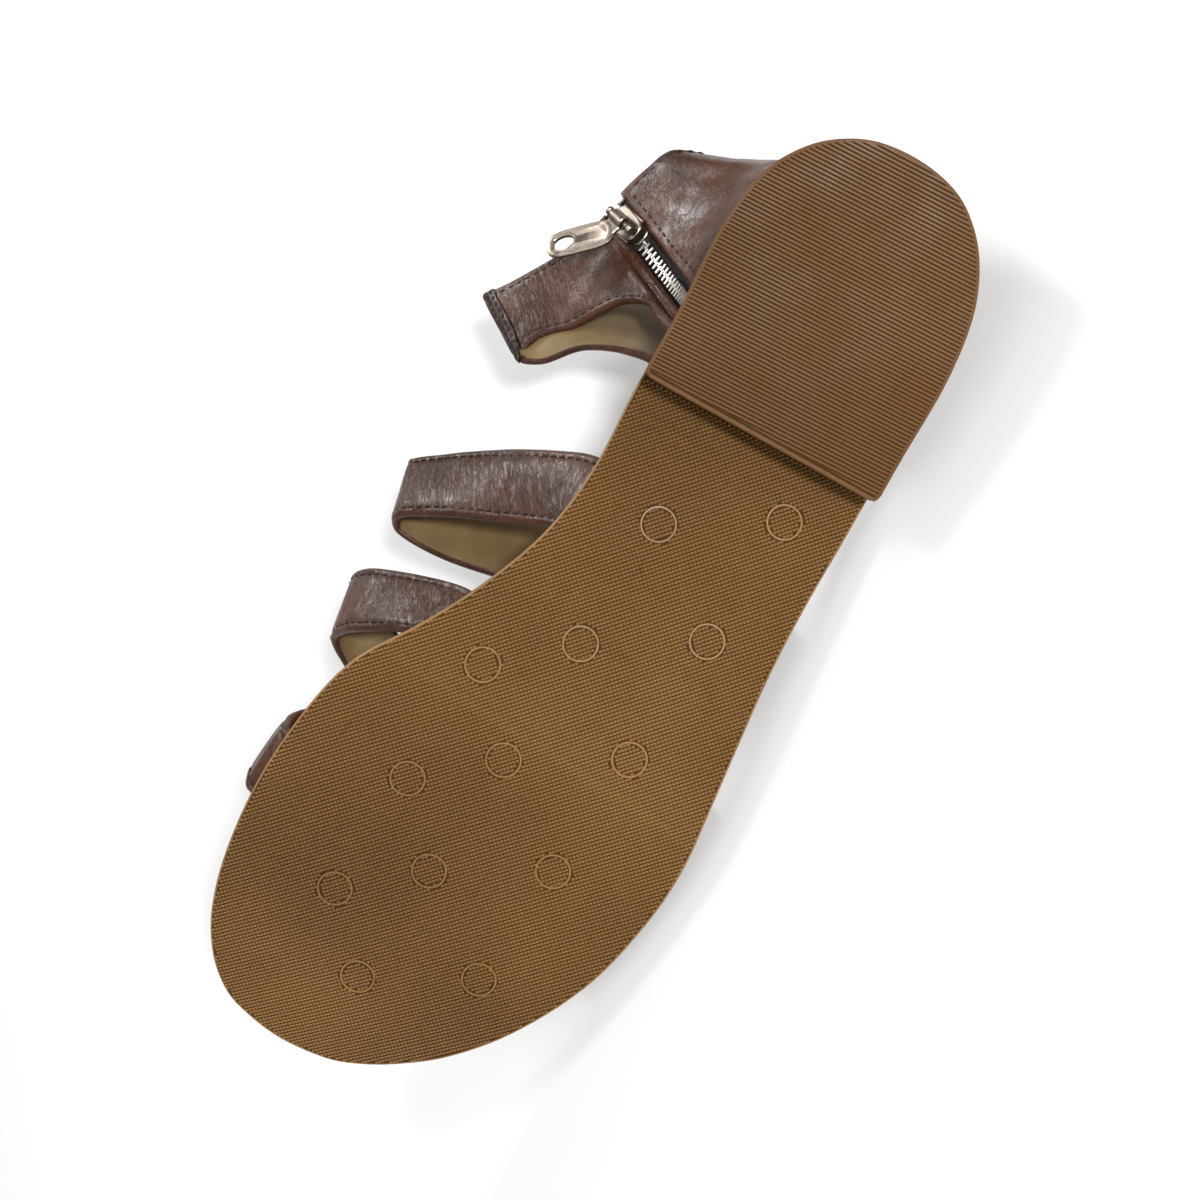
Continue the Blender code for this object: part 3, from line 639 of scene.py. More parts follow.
def strap(name, rows, width, mats, slot, replaces=(), seed=1.0, drop=None, wrinkle=1.0):
    """A folded-edge leather strap with its lining, stitch grooves and creases."""
    centre, wide, tangent, normal, along = strap_surface(rows, drop=drop)
    half, r, crown = width / 2, LEATHER / 2, 0.5
    stitch = half - EDGE_STITCH
    face = [0.0, 1.4, 2.8, 4.2, 5.4, stitch - 0.7, stitch - 0.3, stitch, stitch + 0.3, half - r]
    face = np.array([-y for y in face[:0:-1]] + face)
    bend = np.radians([60, 30, 0, -30, -60])
    section = [(y, 0.0) for y in face]
    section += [(half - r + r * math.cos(a), -r + r * math.sin(a)) for a in bend]
    section += [(y, -LEATHER) for y in face[::-1]]
    section += [(-(half - r + r * math.cos(a)), -r + r * math.sin(a)) for a in bend[::-1]]
    section = np.array(section)
    n = len(section)
    outer = np.arange(n) < len(face)
    groove = -0.16 * np.exp(-((np.abs(section[:, 0]) - stitch) / 0.45) ** 2) * outer
    lip = 0.10 * np.exp(-((np.abs(section[:, 0]) - (stitch + 0.9)) / 0.5) ** 2) * outer
    hump = -crown * (section[:, 0] / half) ** 2 + groove + lip
    total = along[-1]
    turn = np.linalg.norm(np.gradient(tangent, axis=0), axis=1) / np.maximum(np.gradient(along), 1e-6)
    bendy = np.clip(turn * 9.0, 0.0, 1.0)
    root = np.maximum(np.exp(-along / 6.0), np.exp(-(total - along) / 6.0))
    rings = []
    for i in range(len(centre)):
        rows3 = np.column_stack([np.full(n, along[i]), section[:, 0], np.zeros(n)])
        fold = noise_at(rows3, (0.42, 0.05, 1.0), seed) * (0.10 + 0.32 * max(root[i], bendy[i] * 0.8)) * wrinkle
        soft = noise_at(rows3, (0.09, 0.12, 1.0), seed + 7.0) * 0.28
        lift = section[:, 1] + hump + np.where(outer, fold, 0.35 * fold) + soft
        rings.append(centre[i] + wide[i] * section[:, :1] + normal[i] * lift[:, None])
    kinds = [1 if (not outer[k] and abs(section[k, 1] + LEATHER) < 1e-6
                   and abs(section[(k + 1) % n, 1] + LEATHER) < 1e-6) else 0 for k in range(n)]
    points, faces, index = stack(rings, mats=kinds)
    item = piece(name, points, faces, mats, slot, replaces=replaces, index=index)
    lines = []
    for side in (-1, 1):
        line = centre + wide * (side * stitch) + normal * (-crown * (stitch / half) ** 2 - 0.05)
        keep = (along > 1.0) & (along < total - 1.0)
        lines.append((line[keep], normal[keep]))
    return item, lines


def stitch_run(b, line, normal, pitch=2.7, length=2.05, radius=0.27, rise=0.12, mat=0):
    """A row of stitches along a line on a surface, added to a Build."""
    gap = np.linalg.norm(np.diff(line, axis=0), axis=1)
    at = np.concatenate([[0], np.cumsum(gap)])
    count = int((at[-1] - 0.6) / pitch)
    if count < 1:
        return
    first = (at[-1] - (count - 1) * pitch) / 2
    turn = np.arange(6) * math.pi / 3
    for k in range(count):
        middle = first + k * pitch
        rings = []
        for t in (-1.0, -0.75, 0.0, 0.75, 1.0):
            d = middle + t * length / 2
            p = np.array([np.interp(d, at, line[:, c]) for c in range(3)])
            q = np.array([np.interp(d + 0.1, at, line[:, c]) for c in range(3)])
            nn = unit(np.array([np.interp(d, at, normal[:, c]) for c in range(3)]))
            go = unit(q - p + 1e-9)
            side = unit(np.cross(go, nn))
            r = radius * (0.45 if abs(t) == 1.0 else (0.85 if t else 1.0))
            up = rise * (1 - t * t) - 0.16 * t * t
            rings.append([p + nn * (up + r * 0.8 * math.sin(a)) + side * r * math.cos(a) for a in turn])
        points, faces, _ = stack(rings)
        b.add(points, faces, mat)


# The heel counter with its ankle strap.

def rib_grid(steps_u, steps_v):
    """The wall's surface: ribs around the ankle by points up each rib."""
    ribs = curve_through(CUFF, steps_u, closed=True)
    rim = inset(LOOP, WALL_INSET)
    rim = np.concatenate([rim + (np.roll(rim, -1, 0) - rim) * k / 3 for k in range(3)])
    for rib in ribs:
        if rib[2] < ROOT + 0.4:
            rib[:2] = rim[np.linalg.norm(rim - rib[:2], axis=1).argmin()]
            rib[2] = ROOT
    v = np.linspace(0, 1, steps_v)[None, :, None]
    low, high, start, sweep = ribs[:, None, :3], ribs[:, None, 3:6], ribs[:, None, 6:7], ribs[:, None, 7:8]
    lean = np.clip((v - start) / (1 - start), 0.0, 1.0) ** sweep
    return low + (high - low) * np.concatenate([lean, lean, v + 0 * lean], 2)


FINE = 8
WALL = rib_grid(FINE, 41)


def wall_column(u):
    """A rib of the wall at any place around the ankle, as 41 points."""
    x = (u * FINE) % len(WALL)
    i = int(x)
    f = x - i
    return WALL[i] * (1 - f) + WALL[(i + 1) % len(WALL)] * f


def along_column(column, distances):
    at = np.concatenate([[0], np.cumsum(np.linalg.norm(np.diff(column, axis=0), axis=1))])
    return np.column_stack([np.interp(distances, at, column[:, k]) for k in range(3)]), at[-1]


def zip_frame(share, out=0.0):
    """Point, way up, way across and outward normal on the zip's line, at a share of the wall's height."""
    grid = rib_grid(4, 25)
    column = int(ZIP_RIB * 4)
    line, side = grid[column], grid[column - 1] - grid[column + 1]
    x = share * 24
    point = np.array([np.interp(x, np.arange(25), line[:, k]) for k in range(3)])
    low, high = max(x - 2, 0), min(x + 2, 24)
    up = np.array([np.interp(high, np.arange(25), line[:, k]) - np.interp(low, np.arange(25), line[:, k])
                   for k in range(3)])
    across = np.array([np.interp(x, np.arange(25), side[:, k]) for k in range(3)])
    up /= np.linalg.norm(up)
    normal = np.cross(across, up)
    normal /= np.linalg.norm(normal)
    if normal[1] < 0:
        normal = -normal
    across = np.cross(up, normal)
    across *= np.sign(across[0])
    return point + normal * out, up, across, normal


def slider_frame():
    """The zip's frame at the slider, which sits a little askew."""
    point, up, across, normal = zip_frame(SLIDER_AT)
    turn = math.radians(SLIDER_TURN)
    return point, up * math.cos(turn) + across * math.sin(turn), across * math.cos(turn) - up * math.sin(turn), normal


ROWS = 31


def cuff_piece(mats):
    """The wall with rounded edges, the zip slit, creases, and the lines its stitches follow."""
    slit = 0.48
    near = [0.0, 0.025, 0.07, 0.14, 0.24, 0.4]
    left = [ZIP_RIB - slit - d for d in near]
    right = [ZIP_RIB + slit + d for d in near]
    inner = [ZIP_RIB - 0.24, ZIP_RIB, ZIP_RIB + 0.24]
    others = [u for u in np.arange(0, 24, 1 / 10.0) if u < left[-1] - 0.08 or u > right[-1] + 0.08]
    us = np.array(sorted(others + left + right + inner))
    ends = np.array([0.0, 0.15, 0.45, 0.9, 1.5, 2.1, 2.7])
    grid, rooted = [], []
    for u in us:
        column = wall_column(u)
        length = np.linalg.norm(np.diff(column, axis=0), axis=1).sum()
        middle = np.linspace(ends[-1], length - ends[-1], ROWS - 2 * len(ends) + 2)[1:-1]
        d = np.concatenate([ends, middle, length - ends[::-1]])
        pts, _ = along_column(column, d)
        on_sole = column[0, 2] < ROOT + 0.5
        rooted.append(on_sole)
        grid.append(pts)
    grid = np.array(grid)
    rooted = np.array(rooted)
    nu, nv = grid.shape[:2]
    slit_row = 7
    for k, sign in ((list(us).index(left[0]), 1), (list(us).index(right[0]), -1)):
        for j in range(slit_row, nv):
            share = np.clip(np.argmin(np.linalg.norm(WALL[int(ZIP_RIB * FINE)] - grid[k, j], axis=1)) / 40.0, 0, 1)
            point, _, across, _ = zip_frame(share)
            off = grid[k, j] - point
            grid[k, j] += across * (sign * SLIT_HALF - float(off @ across))
    a, c = list(us).index(left[0]), list(us).index(right[0])
    edge = [grid[i, 0] for i in range(nu) if not rooted[i]] + [grid[i, -1] for i in range(nu)]
    edge += [grid[i, j] for i in (a, c) for j in range(slit_row, nv)]
    edge += [grid[i, slit_row] for i in range(a, c + 1)]
    edge = np.array(edge)
    gap = np.min(np.linalg.norm(grid[:, :, None] - edge[None, None], axis=3), axis=2)
    du = np.roll(grid, -1, 0) - np.roll(grid, 1, 0)
    dv = np.gradient(grid, axis=1)
    normal = unit(np.cross(du, dv))
    centre = grid.mean(axis=(0, 1))
    if ((grid - centre) * normal).sum() < 0:
        normal = -normal
    for _ in range(2):
        normal = unit((np.roll(normal, 1, 0) + 2 * normal + np.roll(normal, -1, 0)) / 4)
    r = LEATHER / 2
    half = r * np.sqrt(np.clip(1 - (1 - np.clip(gap / r, 0, 1)) ** 2, 0.015, 1))
    middle = grid - normal * r
    # creases: across the wall behind the zip, and soft puckers in the ankle strap
    length_u = np.concatenate([[0], np.cumsum(np.linalg.norm(np.diff(grid[:, nv // 2], axis=0), axis=1))])
    flat = np.array([[length_u[i], grid[i, j, 2], 0.0] for i in range(nu) for j in range(nv)])
    pucker = noise_at(flat, (0.10, 0.30, 1.0), 3.1).reshape(nu, nv)
    slant = np.column_stack([flat[:, 0] * 0.8 + flat[:, 1] * 0.6, flat[:, 1] * 0.8 - flat[:, 0] * 0.6, flat[:, 2]])
    cross = noise_at(slant, (0.28, 0.06, 1.0), 9.4).reshape(nu, nv)
    swell = noise_at(flat, (0.06, 0.07, 1.0), 5.7).reshape(nu, nv)
    behind = np.exp(-((us - 9.3) / 1.6) ** 2)[:, None]
    strapish = ((us < 6.0) | (us > 18.0)).astype(float)[:, None]
    shape = 0.30 * swell + 0.24 * pucker + cross * (0.16 + 0.55 * behind + 0.22 * strapish)
    groove = -0.14 * np.exp(-((gap - EDGE_STITCH) / 0.45) ** 2)
    calm = np.clip(gap / 3.0, 0.25, 1.0)
    outer = middle + normal * (half + shape * calm + groove)[..., None]
    inner_face = middle - normal * (half - 0.6 * shape * calm)[..., None]
    for i in range(nu):
        if rooted[i]:
            outer[i, 0, 2] = inner_face[i, 0, 2] = ROOT - 0.9
    inner_face[..., 2] = np.maximum(inner_face[..., 2], ROOT - 0.9)
    keep = np.ones((nu, nv - 1), bool)
    keep[a:c, slit_row:] = False
    points = np.concatenate([outer.reshape(-1, 3), inner_face.reshape(-1, 3)])
    back = nu * nv
    faces, index = [], []

    def node(i, j):
        return (i % nu) * nv + j

    def there(i, j):
        return 0 <= j < nv - 1 and keep[i % nu, j]

    for i in range(nu):
        for j in range(nv - 1):
            if not keep[i, j]:
                continue
            ring = [node(i, j), node(i + 1, j), node(i + 1, j + 1), node(i, j + 1)]
            faces.append(ring)
            index.append(0)
            faces.append([k + back for k in ring[::-1]])
            inside = min(gap[i, j], gap[(i + 1) % nu, j + 1]) > 0.8
            index.append(1 if inside else 0)
            for k, (di, dj) in enumerate(((0, -1), (1, 0), (0, 1), (-1, 0))):
                if not there(i + di, j + dj):
                    p, q = ring[k], ring[(k + 1) % 4]
                    faces.append([p, p + back, q + back, q])
                    index.append(0)
    used = np.unique(np.concatenate([np.array(f) for f in faces]))
    at = np.full(len(points), -1)
    at[used] = np.arange(len(used))
    item = piece("counter_leather", points[used], [[at[k] for k in f] for f in faces], mats, "leather_brown",
                 replaces=("cuff",), index=index)
    lines = []
    order = [(c + k) % nu for k in range(nu - (c - a))] + [a]

    def walk(indices, distance_from_top=None, distance_from_low=None):
        pts, nor = [], []
        for i in indices:
            column = grid[i]
            at_d = np.concatenate([[0], np.cumsum(np.linalg.norm(np.diff(column, axis=0), axis=1))])
            d = at_d[-1] - distance_from_top if distance_from_top is not None else distance_from_low
            surf = outer[i]
            pts.append([np.interp(d, at_d, surf[:, k]) for k in range(3)])
            nor.append([np.interp(d, at_d, normal[i][:, k]) for k in range(3)])
        return np.array(pts), unit(np.array(nor))

    lines.append(walk(order[4:-4], distance_from_top=EDGE_STITCH))
    free = [i for i in range(nu) if not rooted[i]]
    cut = next(k for k in range(len(free) - 1) if free[k + 1] - free[k] > 5)
    free = free[cut + 1:] + free[:cut + 1]
    lines.append(walk(free[1:-1], distance_from_low=EDGE_STITCH))
    for k, start in ((list(us).index(left[-2]), 0.42), (list(us).index(right[-2]), 0.16)):
        lo = int(start * (nv - 1))
        lines.append((outer[k, lo:nv - 5], normal[k, lo:nv - 5]))
    return item, lines, (us, grid, outer, normal)


# The zip.

def rail(points, normals, section, b, mat=0):
    """Sweeps a closed section (across, out) along points with given frames."""
    rings = []
    for p, (side, out) in zip(points, normals):
        rings.append([p + side * s + out * o for s, o in section])
    pts, faces, _ = stack(rings)
    b.add(pts, faces, mat)


def zip_tape(mats):
    """The two tapes, each with a corded edge."""
    b = Build()
    shares = np.linspace(0.03, 0.985, 40)
    frames = [zip_frame(s, -LEATHER - 0.25) for s in shares]
    for sign in (-1, 1):
        near, far = 0.35, TAPE_WIDTH / 2
        section = [(near, 0.0), (near + 0.7, 0.28), (near + 1.3, 0.05), (far - 0.8, 0.0), (far, -0.25),
                   (far - 0.8, -0.6), (near + 1.3, -0.65), (near + 0.7, -0.85), (near, -0.6)]
        if sign > 0:
            section = section[::-1]
        rail([f[0] for f in frames], [(f[2] * sign, f[3]) for f in frames], section, b)
    return b.make("zip_tape_woven", mats, "tape_dark", replaces=("zip_tape",))


def chamfered(b, centre, axes, size, bevel, mat=0, taper=1.0):
    """A block with all its edges cut; size along the three axes, the far end of the first narrower by taper."""
    a, c, d = (np.asarray(v, float) for v in axes)
    la, lc, ld = (s / 2 for s in size)
    rings = []
    for t, shrink in ((-la, bevel), (-la + bevel, 0.0), (la - bevel, 0.0), (la, bevel)):
        k = taper if t > 0 else 1.0
        w, h = lc * k - shrink, ld - shrink
        e = bevel
        ring = [(w - e, h), (w, h - e), (w, -h + e), (w - e, -h),
                (-w + e, -h), (-w, -h + e), (-w, h - e), (-w + e, h)]
        rings.append([centre + a * t + c * y + d * z for y, z in ring])
    points, faces, _ = stack(rings)
    b.add(points, faces, mat)


def zip_teeth(mats):
    """Two rows of teeth that mesh, with the stops and the free teeth over the slider."""
    b = Build()
    pitch = TOOTH_PITCH
    grid = rib_grid(4, 25)[int(ZIP_RIB * 4)]
    length = np.linalg.norm(np.diff(grid, axis=0), axis=1).sum()
    low, high = 0.13, SLIDER_AT - 0.10
    count = int((high - low) * length / pitch)
    for k in range(count):
        for sign in (-1, 1):
            share = low + (k + (0.5 if sign > 0 else 0.0)) * pitch / length
            point, up, across, normal = zip_frame(share, -0.35)
            side = across * sign
            chamfered(b, point + side * 0.85, (side, up, normal), (1.9, 0.80, 1.5), 0.2, taper=0.8)
            chamfered(b, point - side * 0.18, (up, side, normal), (0.95, 0.6, 1.25), 0.18)
    for sign in (-1, 1):
        point, up, across, normal = zip_frame(0.095, -0.35)
        chamfered(b, point + across * sign * 0.1, (across, up, normal), (4.2, 1.5, 1.6), 0.3)
        point, up, across, normal = zip_frame(0.975, -0.45)
        chamfered(b, point + across * sign * 2.2, (across * sign, up, normal), (2.4, 1.3, 1.5), 0.3)
        for share in np.arange(SLIDER_AT + 0.10, 0.955, pitch / length):
            point, up, across, normal = zip_frame(share, -0.35)
            chamfered(b, point + across * sign * 2.1, (across * sign, up, normal), (2.3, 0.92, 1.5), 0.22,
                      taper=0.85)
    return b.make("zip_teeth", mats, "metal_nickel", replaces=("zip_chain",), sharp=30)


def plate_outline(length, width_low, width_high, count=36, power=0.6):
    out = []
    for k in range(count):
        t = 2 * math.pi * k / count
        c, s = math.cos(t), math.sin(t)
        x = length / 2 * abs(c) ** power * (1 if c > 0 else -1)
        w = (width_low + (width_high - width_low) * (x / length + 0.5)) / 2
        out.append((x, w * abs(s) ** power * (1 if s > 0 else -1)))
    return np.array(out)


def plate(b, centre, axes, outline, thick, bevel, mat=0):
    """A flat plate with bevelled edges on the frame (along, across, out)."""
    a, c, d = axes
    shrink = 1 - bevel / np.abs(outline).max(axis=0)
    rings = []
    for z, k in ((-thick / 2, 1), (-thick / 2 + bevel, 0), (thick / 2 - bevel, 0), (thick / 2, 1)):
        shape = outline * (shrink if k else 1.0)
        rings.append([centre + a * x + c * y + d * z for x, y in shape])
    points, faces, _ = stack(rings)
    b.add(points, faces, mat)


def slider_piece(mats):
    """The slider: two shields, side flanges, the neck, two posts and the bar with its knob."""
    b = Build()
    point, up, across, normal = slider_frame()
    shield = plate_outline(10.0, 5.6, 7.4, power=0.55)
    plate(b, point + normal * 1.45, (up, across, normal), shield, 0.95, 0.25)
    plate(b, point - normal * 1.75, (up, across, normal), shield, 0.8, 0.22)
    for sign in (-1, 1):
        chamfered(b, point + across * sign * 3.15 + normal * 0.75 + up * 0.3, (up, across, normal),
                  (8.2, 0.8, 1.5), 0.25)
    chamfered(b, point + up * 3.4, (up, across, normal), (1.8, 2.2, 3.4), 0.3)
    half = 4.1
    for s in (-1, 1):
        chamfered(b, point + normal * 3.2 + up * s * half, (normal, across, up), (3.6, 2.0, 1.5), 0.35, taper=0.85)
    bow = []
    for t in np.linspace(-1.12, 1.12, 19):
        bow.append(point + up * half * t + normal * (BAR_OUT + 0.1 - 0.4 * abs(t) ** 4))
    ring = [(0.85 * math.cos(a), 0.72 * math.sin(a)) for a in np.arange(12) * math.pi / 6]
    rail(bow, [(across, normal)] * len(bow), ring, b)
    knob = [(1.15 * math.cos(a), 1.0 * math.sin(a)) for a in np.arange(12) * math.pi / 6]
    top = [point + up * (half * t) + normal * (BAR_OUT - 0.1) for t in (0.92, 0.98, 1.12, 1.2)]
    rail(top, [(across * k, normal * k) for k in (0.8, 1.0, 1.0, 0.75)], knob, b)
    return b.make("zip_slider_body", mats, "metal_nickel", replaces=("zip_slider",), sharp=30)


def flat_ring(b, loops, middle, axes):
    """A plate with a hole: loops of (outline, height) that close on themselves."""
    along, beside, face = axes
    sides = len(loops[0][0])
    rings = [[middle + along * x + beside * y + face * z for x, y in loop] for loop, z in loops]
    rings.append(rings[0])
    pts, faces, _ = stack(rings, caps=False)
    total = len(loops) * sides
    b.add(pts[:total], [[k % total for k in f] for f in faces])


def pull_piece(mats):
    """The tab: a narrow eye plate around the slider's bar and a long bevelled plate with an oval hole."""
    b = Build()
    point, up, across, normal = slider_frame()
    hinge = point + normal * BAR_OUT
    lean = math.radians(PULL_STANDS)
    out = across * math.cos(lean) + normal * math.sin(lean)
    face = np.cross(up, out)
    face *= np.sign(np.dot(face, normal))
    bore, outer, half = 1.15, 1.85, 2.3
    turn = np.arange(24) * 2 * math.pi / 24
    section = [(-half + 0.25, bore), (half - 0.25, bore), (half, bore + 0.2), (half, outer - 0.2),
               (half - 0.2, outer), (-half + 0.2, outer), (-half, outer - 0.2), (-half, bore + 0.2)]
    rings = [[hinge + up * a + (math.cos(t) * out + math.sin(t) * face) * r for a, r in section] for t in turn]
    n, m = len(rings), len(section)
    b.add(np.array(rings).reshape(-1, 3),
          [[i * m + k, ((i + 1) % n) * m + k, ((i + 1) % n) * m + (k + 1) % m, i * m + (k + 1) % m]
           for i in range(n) for k in range(m)])
    askew = math.radians(PULL_ASKEW)
    along = out * math.cos(askew) + up * math.sin(askew)
    beside = up * math.cos(askew) - out * math.sin(askew)
    reach = PULL_LENGTH - 4.0
    middle = hinge + out * (2.0 + 2.9) + along * (reach / 2 - 2.6)
    sides = 64
    rim, hole = [], []
    for k in range(sides):
        t = 2 * math.pi * k / sides
        c, s = math.cos(t), math.sin(t)
        rim.append((reach / 2 * (abs(c) ** 0.5) * (1 if c > 0 else -1),
                    0.5 * PULL_WIDTH * (abs(s) ** 0.7) * (1 if s > 0 else -1)))
        hole.append((reach / 2 - 4.6 + 2.9 * c, 2.0 * s))
    rim, hole = np.array(rim), np.array(hole)
    centre = np.array([reach / 2 - 4.6, 0.0])
    h, e, w = 0.62, 0.22, PULL_WIDTH / 2

    def grown(factor):
        return centre + (hole - centre) * factor

    flat_ring(b, [(hole, -h + e), (grown(1.1), -h), (rim * (1 - e / w), -h), (rim, -h + e), (rim, h - e),
                  (rim * (1 - e / w), h), (rim * (1 - 0.75 / w), h), (rim * (1 - 0.95 / w), h - 0.16),
                  (grown(1.40), h - 0.16), (grown(1.30), h), (grown(1.1), h), (hole, h - e)],
              middle, (along, beside, face))
    chamfered(b, hinge + out * 3.0, (out, up, face), (3.4, 4.6, 1.2), 0.2)
    return b.make("zip_pull_tab", mats, "metal_nickel", replaces=("zip_pull",), body="pull_tab", sharp=30)


# The sole.

def inside(points, loop):
    """Which of the points lie inside a closed loop."""
    x0, y0 = loop[:, 0], loop[:, 1]
    x1, y1 = np.roll(x0, -1), np.roll(y0, -1)
    px, py = points[:, :1], points[:, 1:]
    hit = (y0 > py) != (y1 > py)
    cross = px < (x1 - x0) * (py - y0) / np.where(hit, y1 - y0, 1.0) + x0
    return (hit & cross).sum(axis=1) % 2 == 1


def outsole_piece(mats):
    """The sheet, its valleys in a darker rubber as painted shade, the knurl's pyramids and plain rings in place of
    badges.
    """
    b = Build()
    relief = TREAD_RELIEF
    layer(b, 0.0, lambda x: ground(x) + relief, lambda x: ground(x) + OUTSOLE + 0.02, 0.45, 0.25, mat=1)
    # the valley floor between the pyramids, in the darker rubber: painted shade in the valleys
    layer(b, 0.5, lambda x: ground(x) + relief - 0.03, lambda x: ground(x) + relief + 0.4, 0.05, 0.05)
    rim = inset(LOOP, 0.65)
    rings = [(x, y) for x in range(-44, 116, 32) for y in (-20.0, 20.0)]
    rings += [(x, 4.0) for x in range(-28, 116, 32)]
    reach = np.array([(7, 0), (-7, 0), (0, 7), (0, -7)])
    centres = np.array([p for p in rings if inside(np.array(p) + reach, rim).all()])
    d1 = np.array([math.cos(KNURL_LEAN), math.sin(KNURL_LEAN)]) * KNURL_PITCH
    d2 = np.array([math.sin(KNURL_LEAN + KNURL_SKEW), -math.cos(KNURL_LEAN + KNURL_SKEW)]) * KNURL_PITCH
    spots = np.array([d1 * i + d2 * j for i in range(-190, 190) for j in range(-190, 190)])
    ahead = spots[:, 0] > breast_x(spots[:, 1]) + 1.2
    spots = spots[ahead & (np.abs(spots[:, 0]) < 126) & (np.abs(spots[:, 1]) < 50)]
    spots = spots[inside(spots, rim)]
    away = np.min(np.linalg.norm(spots[:, None] - centres[None], axis=2), axis=1)
    spots = spots[np.abs(away - RING_RADIUS) > 0.5]
    corner = np.array([d1 * 0.5 + d2 * 0.38, d1 * 0.5 - d2 * 0.38, -d1 * 0.5 - d2 * 0.38, d2 * 0.38 - d1 * 0.5])
    base = spots[:, None, :] + corner[None]
    base = np.concatenate([base, ground(base[..., :1]) + relief + 0.04], axis=2)
    tip = np.concatenate([spots, ground(spots[:, :1]) + 0.0], axis=1)[:, None]
    dots = np.concatenate([base, tip], axis=1)
    faces = [[k * 5 + a for a in f] for k in range(len(spots))
             for f in ((0, 1, 4), (1, 2, 4), (2, 3, 4), (3, 0, 4), (3, 2, 1, 0))]
    b.add(dots.reshape(-1, 3), faces, 1)
    for x, y in centres:
        slope = float(ground(x + 1) - ground(x - 1)) / 2
        along = unit(np.array([1.0, 0.0, slope]))
        centre = np.array([x, y, float(ground(x)) + relief + 0.04])
        ring_line(b, centre, RING_RADIUS, 0.30, along, np.array([0.0, 1.0, 0.0]), mat=1, turns=36)
    return b.make("outsole_tread", mats, "rubber_tan", replaces=("outsole",), sharp=28)


def lift_piece(mats):
    """The top lift: ribs over valleys in a darker rubber as painted shade, and a smooth lip along the breast."""
    b = Build()
    relief = RIB_RELIEF
    heel_layer(b, -0.2, 0.6, lambda x: relief + 0 * x, lambda x: TOP_LIFT + 0.02 + 0 * x, 0.3, 0.3)
    # the valley floor between the ribs, in the darker rubber: painted shade in the valleys
    heel_layer(b, 0.55, 0.2, lambda x: relief - 0.03 + 0 * x, lambda x: relief + 0.4 + 0 * x,
               0.05, 0.05, mat=1)
    loop = heel_loop(0.3, 0.6)
    go = unit(np.array(RIB_WAY))
    side = np.array([go[1], -go[0]])
    for k in range(-60, 60):
        lines = []
        for width, z in ((0.31, relief + 0.03), (0.19, 0.0)):
            for s in (-1, 1):
                origin = np.array([-90.0, 0.0]) + side * (k * RIB_PITCH + s * width)
                a, c = loop, np.roll(loop, -1, 0)
                da, dc = (a - origin) @ side, (c - origin) @ side
                cut = (da > 0) != (dc > 0)
                if cut.sum() != 2:
                    continue
                t = (da / (da - dc))[cut][:, None]
                hits = a[cut] + (c[cut] - a[cut]) * t
                hits = hits[np.argsort(hits @ go)]
                short = hits[:, 0] - breast_x(hits[:, 1]) + RIB_END
                slope = go[0] - BREAST_SKEW * go[1]
                if short[0] > 0:
                    continue
                if short[1] > 0:
                    hits[1] = hits[0] - go * short[0] / slope
                lines.append((hits, z))
        if len(lines) != 4 or np.linalg.norm(lines[0][0][1] - lines[0][0][0]) < 3:
            continue
        (l0, z0), (l1, _), (t0, z1), (t1, _) = lines
        t0 = [t0[0] + go * 0.3, t0[1] - go * 0.3]
        t1 = [t1[0] + go * 0.3, t1[1] - go * 0.3]
        quad = []
        for q in (0, 1):
            quad += [(*l0[q], z0), (*l1[q], z0), (*t1[q], z1), (*t0[q], z1)]
        b.add(quad, [[0, 1, 2, 3], [7, 6, 5, 4], [0, 4, 5, 1], [1, 5, 6, 2], [2, 6, 7, 3], [3, 7, 4, 0]])
    a, c = loop, np.roll(loop, -1, 0)
    ends = []
    for front, z in ((-0.6, relief + 0.03), (-0.45, 0.0), (0.25, 0.0), (0.45, relief + 0.03)):
        da, dc = (q[:, 0] - breast_x(q[:, 1]) - front for q in (a, c))
        cut = (da > 0) != (dc > 0)
        hits = a[cut] + (c[cut] - a[cut]) * (da / (da - dc))[cut][:, None]
        hits = hits[np.argsort(hits[:, 1])]
        ends.append([(*hits[0], z), (*hits[-1], z)])
    quad = [row[0] for row in ends] + [row[1] for row in ends]
    b.add(quad, [[3, 2, 1, 0], [4, 5, 6, 7], [0, 1, 5, 4], [1, 2, 6, 5], [2, 3, 7, 6], [3, 0, 4, 7]])
    return b.make("top_lift_ribbed", mats, "lift_tan", replaces=("top_lift",), sharp=25)


def platform_pieces(mats):
    """The leather-wrapped platform, and the heel block with its wrap line."""
    b = Build()
    layer(b, 0.6, lambda x: ground(x) + OUTSOLE - 0.02, lambda x: ground(x) + PLATFORM_TOP, 0.35, 1.5)
    b.make("platform_wrap", mats, "leather_platform", replaces=("midsole",), sharp=50)
    b = Build()
    top = lambda x: ground(x) + 0.25
    heel_layer(b, 0.8, 0.0, lambda x: TOP_LIFT - 0.02 + 0 * x, lambda x: 0.5 * (TOP_LIFT + ground(x)) - 0.2,
               0.3, 0.35)
    heel_layer(b, 0.65, 0.0, lambda x: 0.5 * (TOP_LIFT + ground(x)) - 0.15, top, 0.35, 0.2)
    b.make("heel_block_wrap", mats, "leather_platform", replaces=("heel_block",), sharp=50)


def insole_piece(mats):
    """The insole; returns its row of stitches."""
    b = Build()
    layer(b, INSOLE_LEDGE, lambda x: ground(x) + PLATFORM_TOP - 0.05, lambda x: ground(x) + INSOLE_TOP, 0.3, 0.9)
    b.make("insole_sock", mats, "insole_tan", replaces=("insole",), sharp=50)
    s = Build()
    loop = stations(INSOLE_LEDGE + 3.0, 160)
    line = np.column_stack([loop, ground(loop[:, 0]) + INSOLE_TOP + 0.02])
    line = np.concatenate([line, line[:1]])
    stitch_run(s, line, np.tile([0.0, 0.0, 1.0], (len(line), 1)), pitch=3.2, length=2.4)
    return s


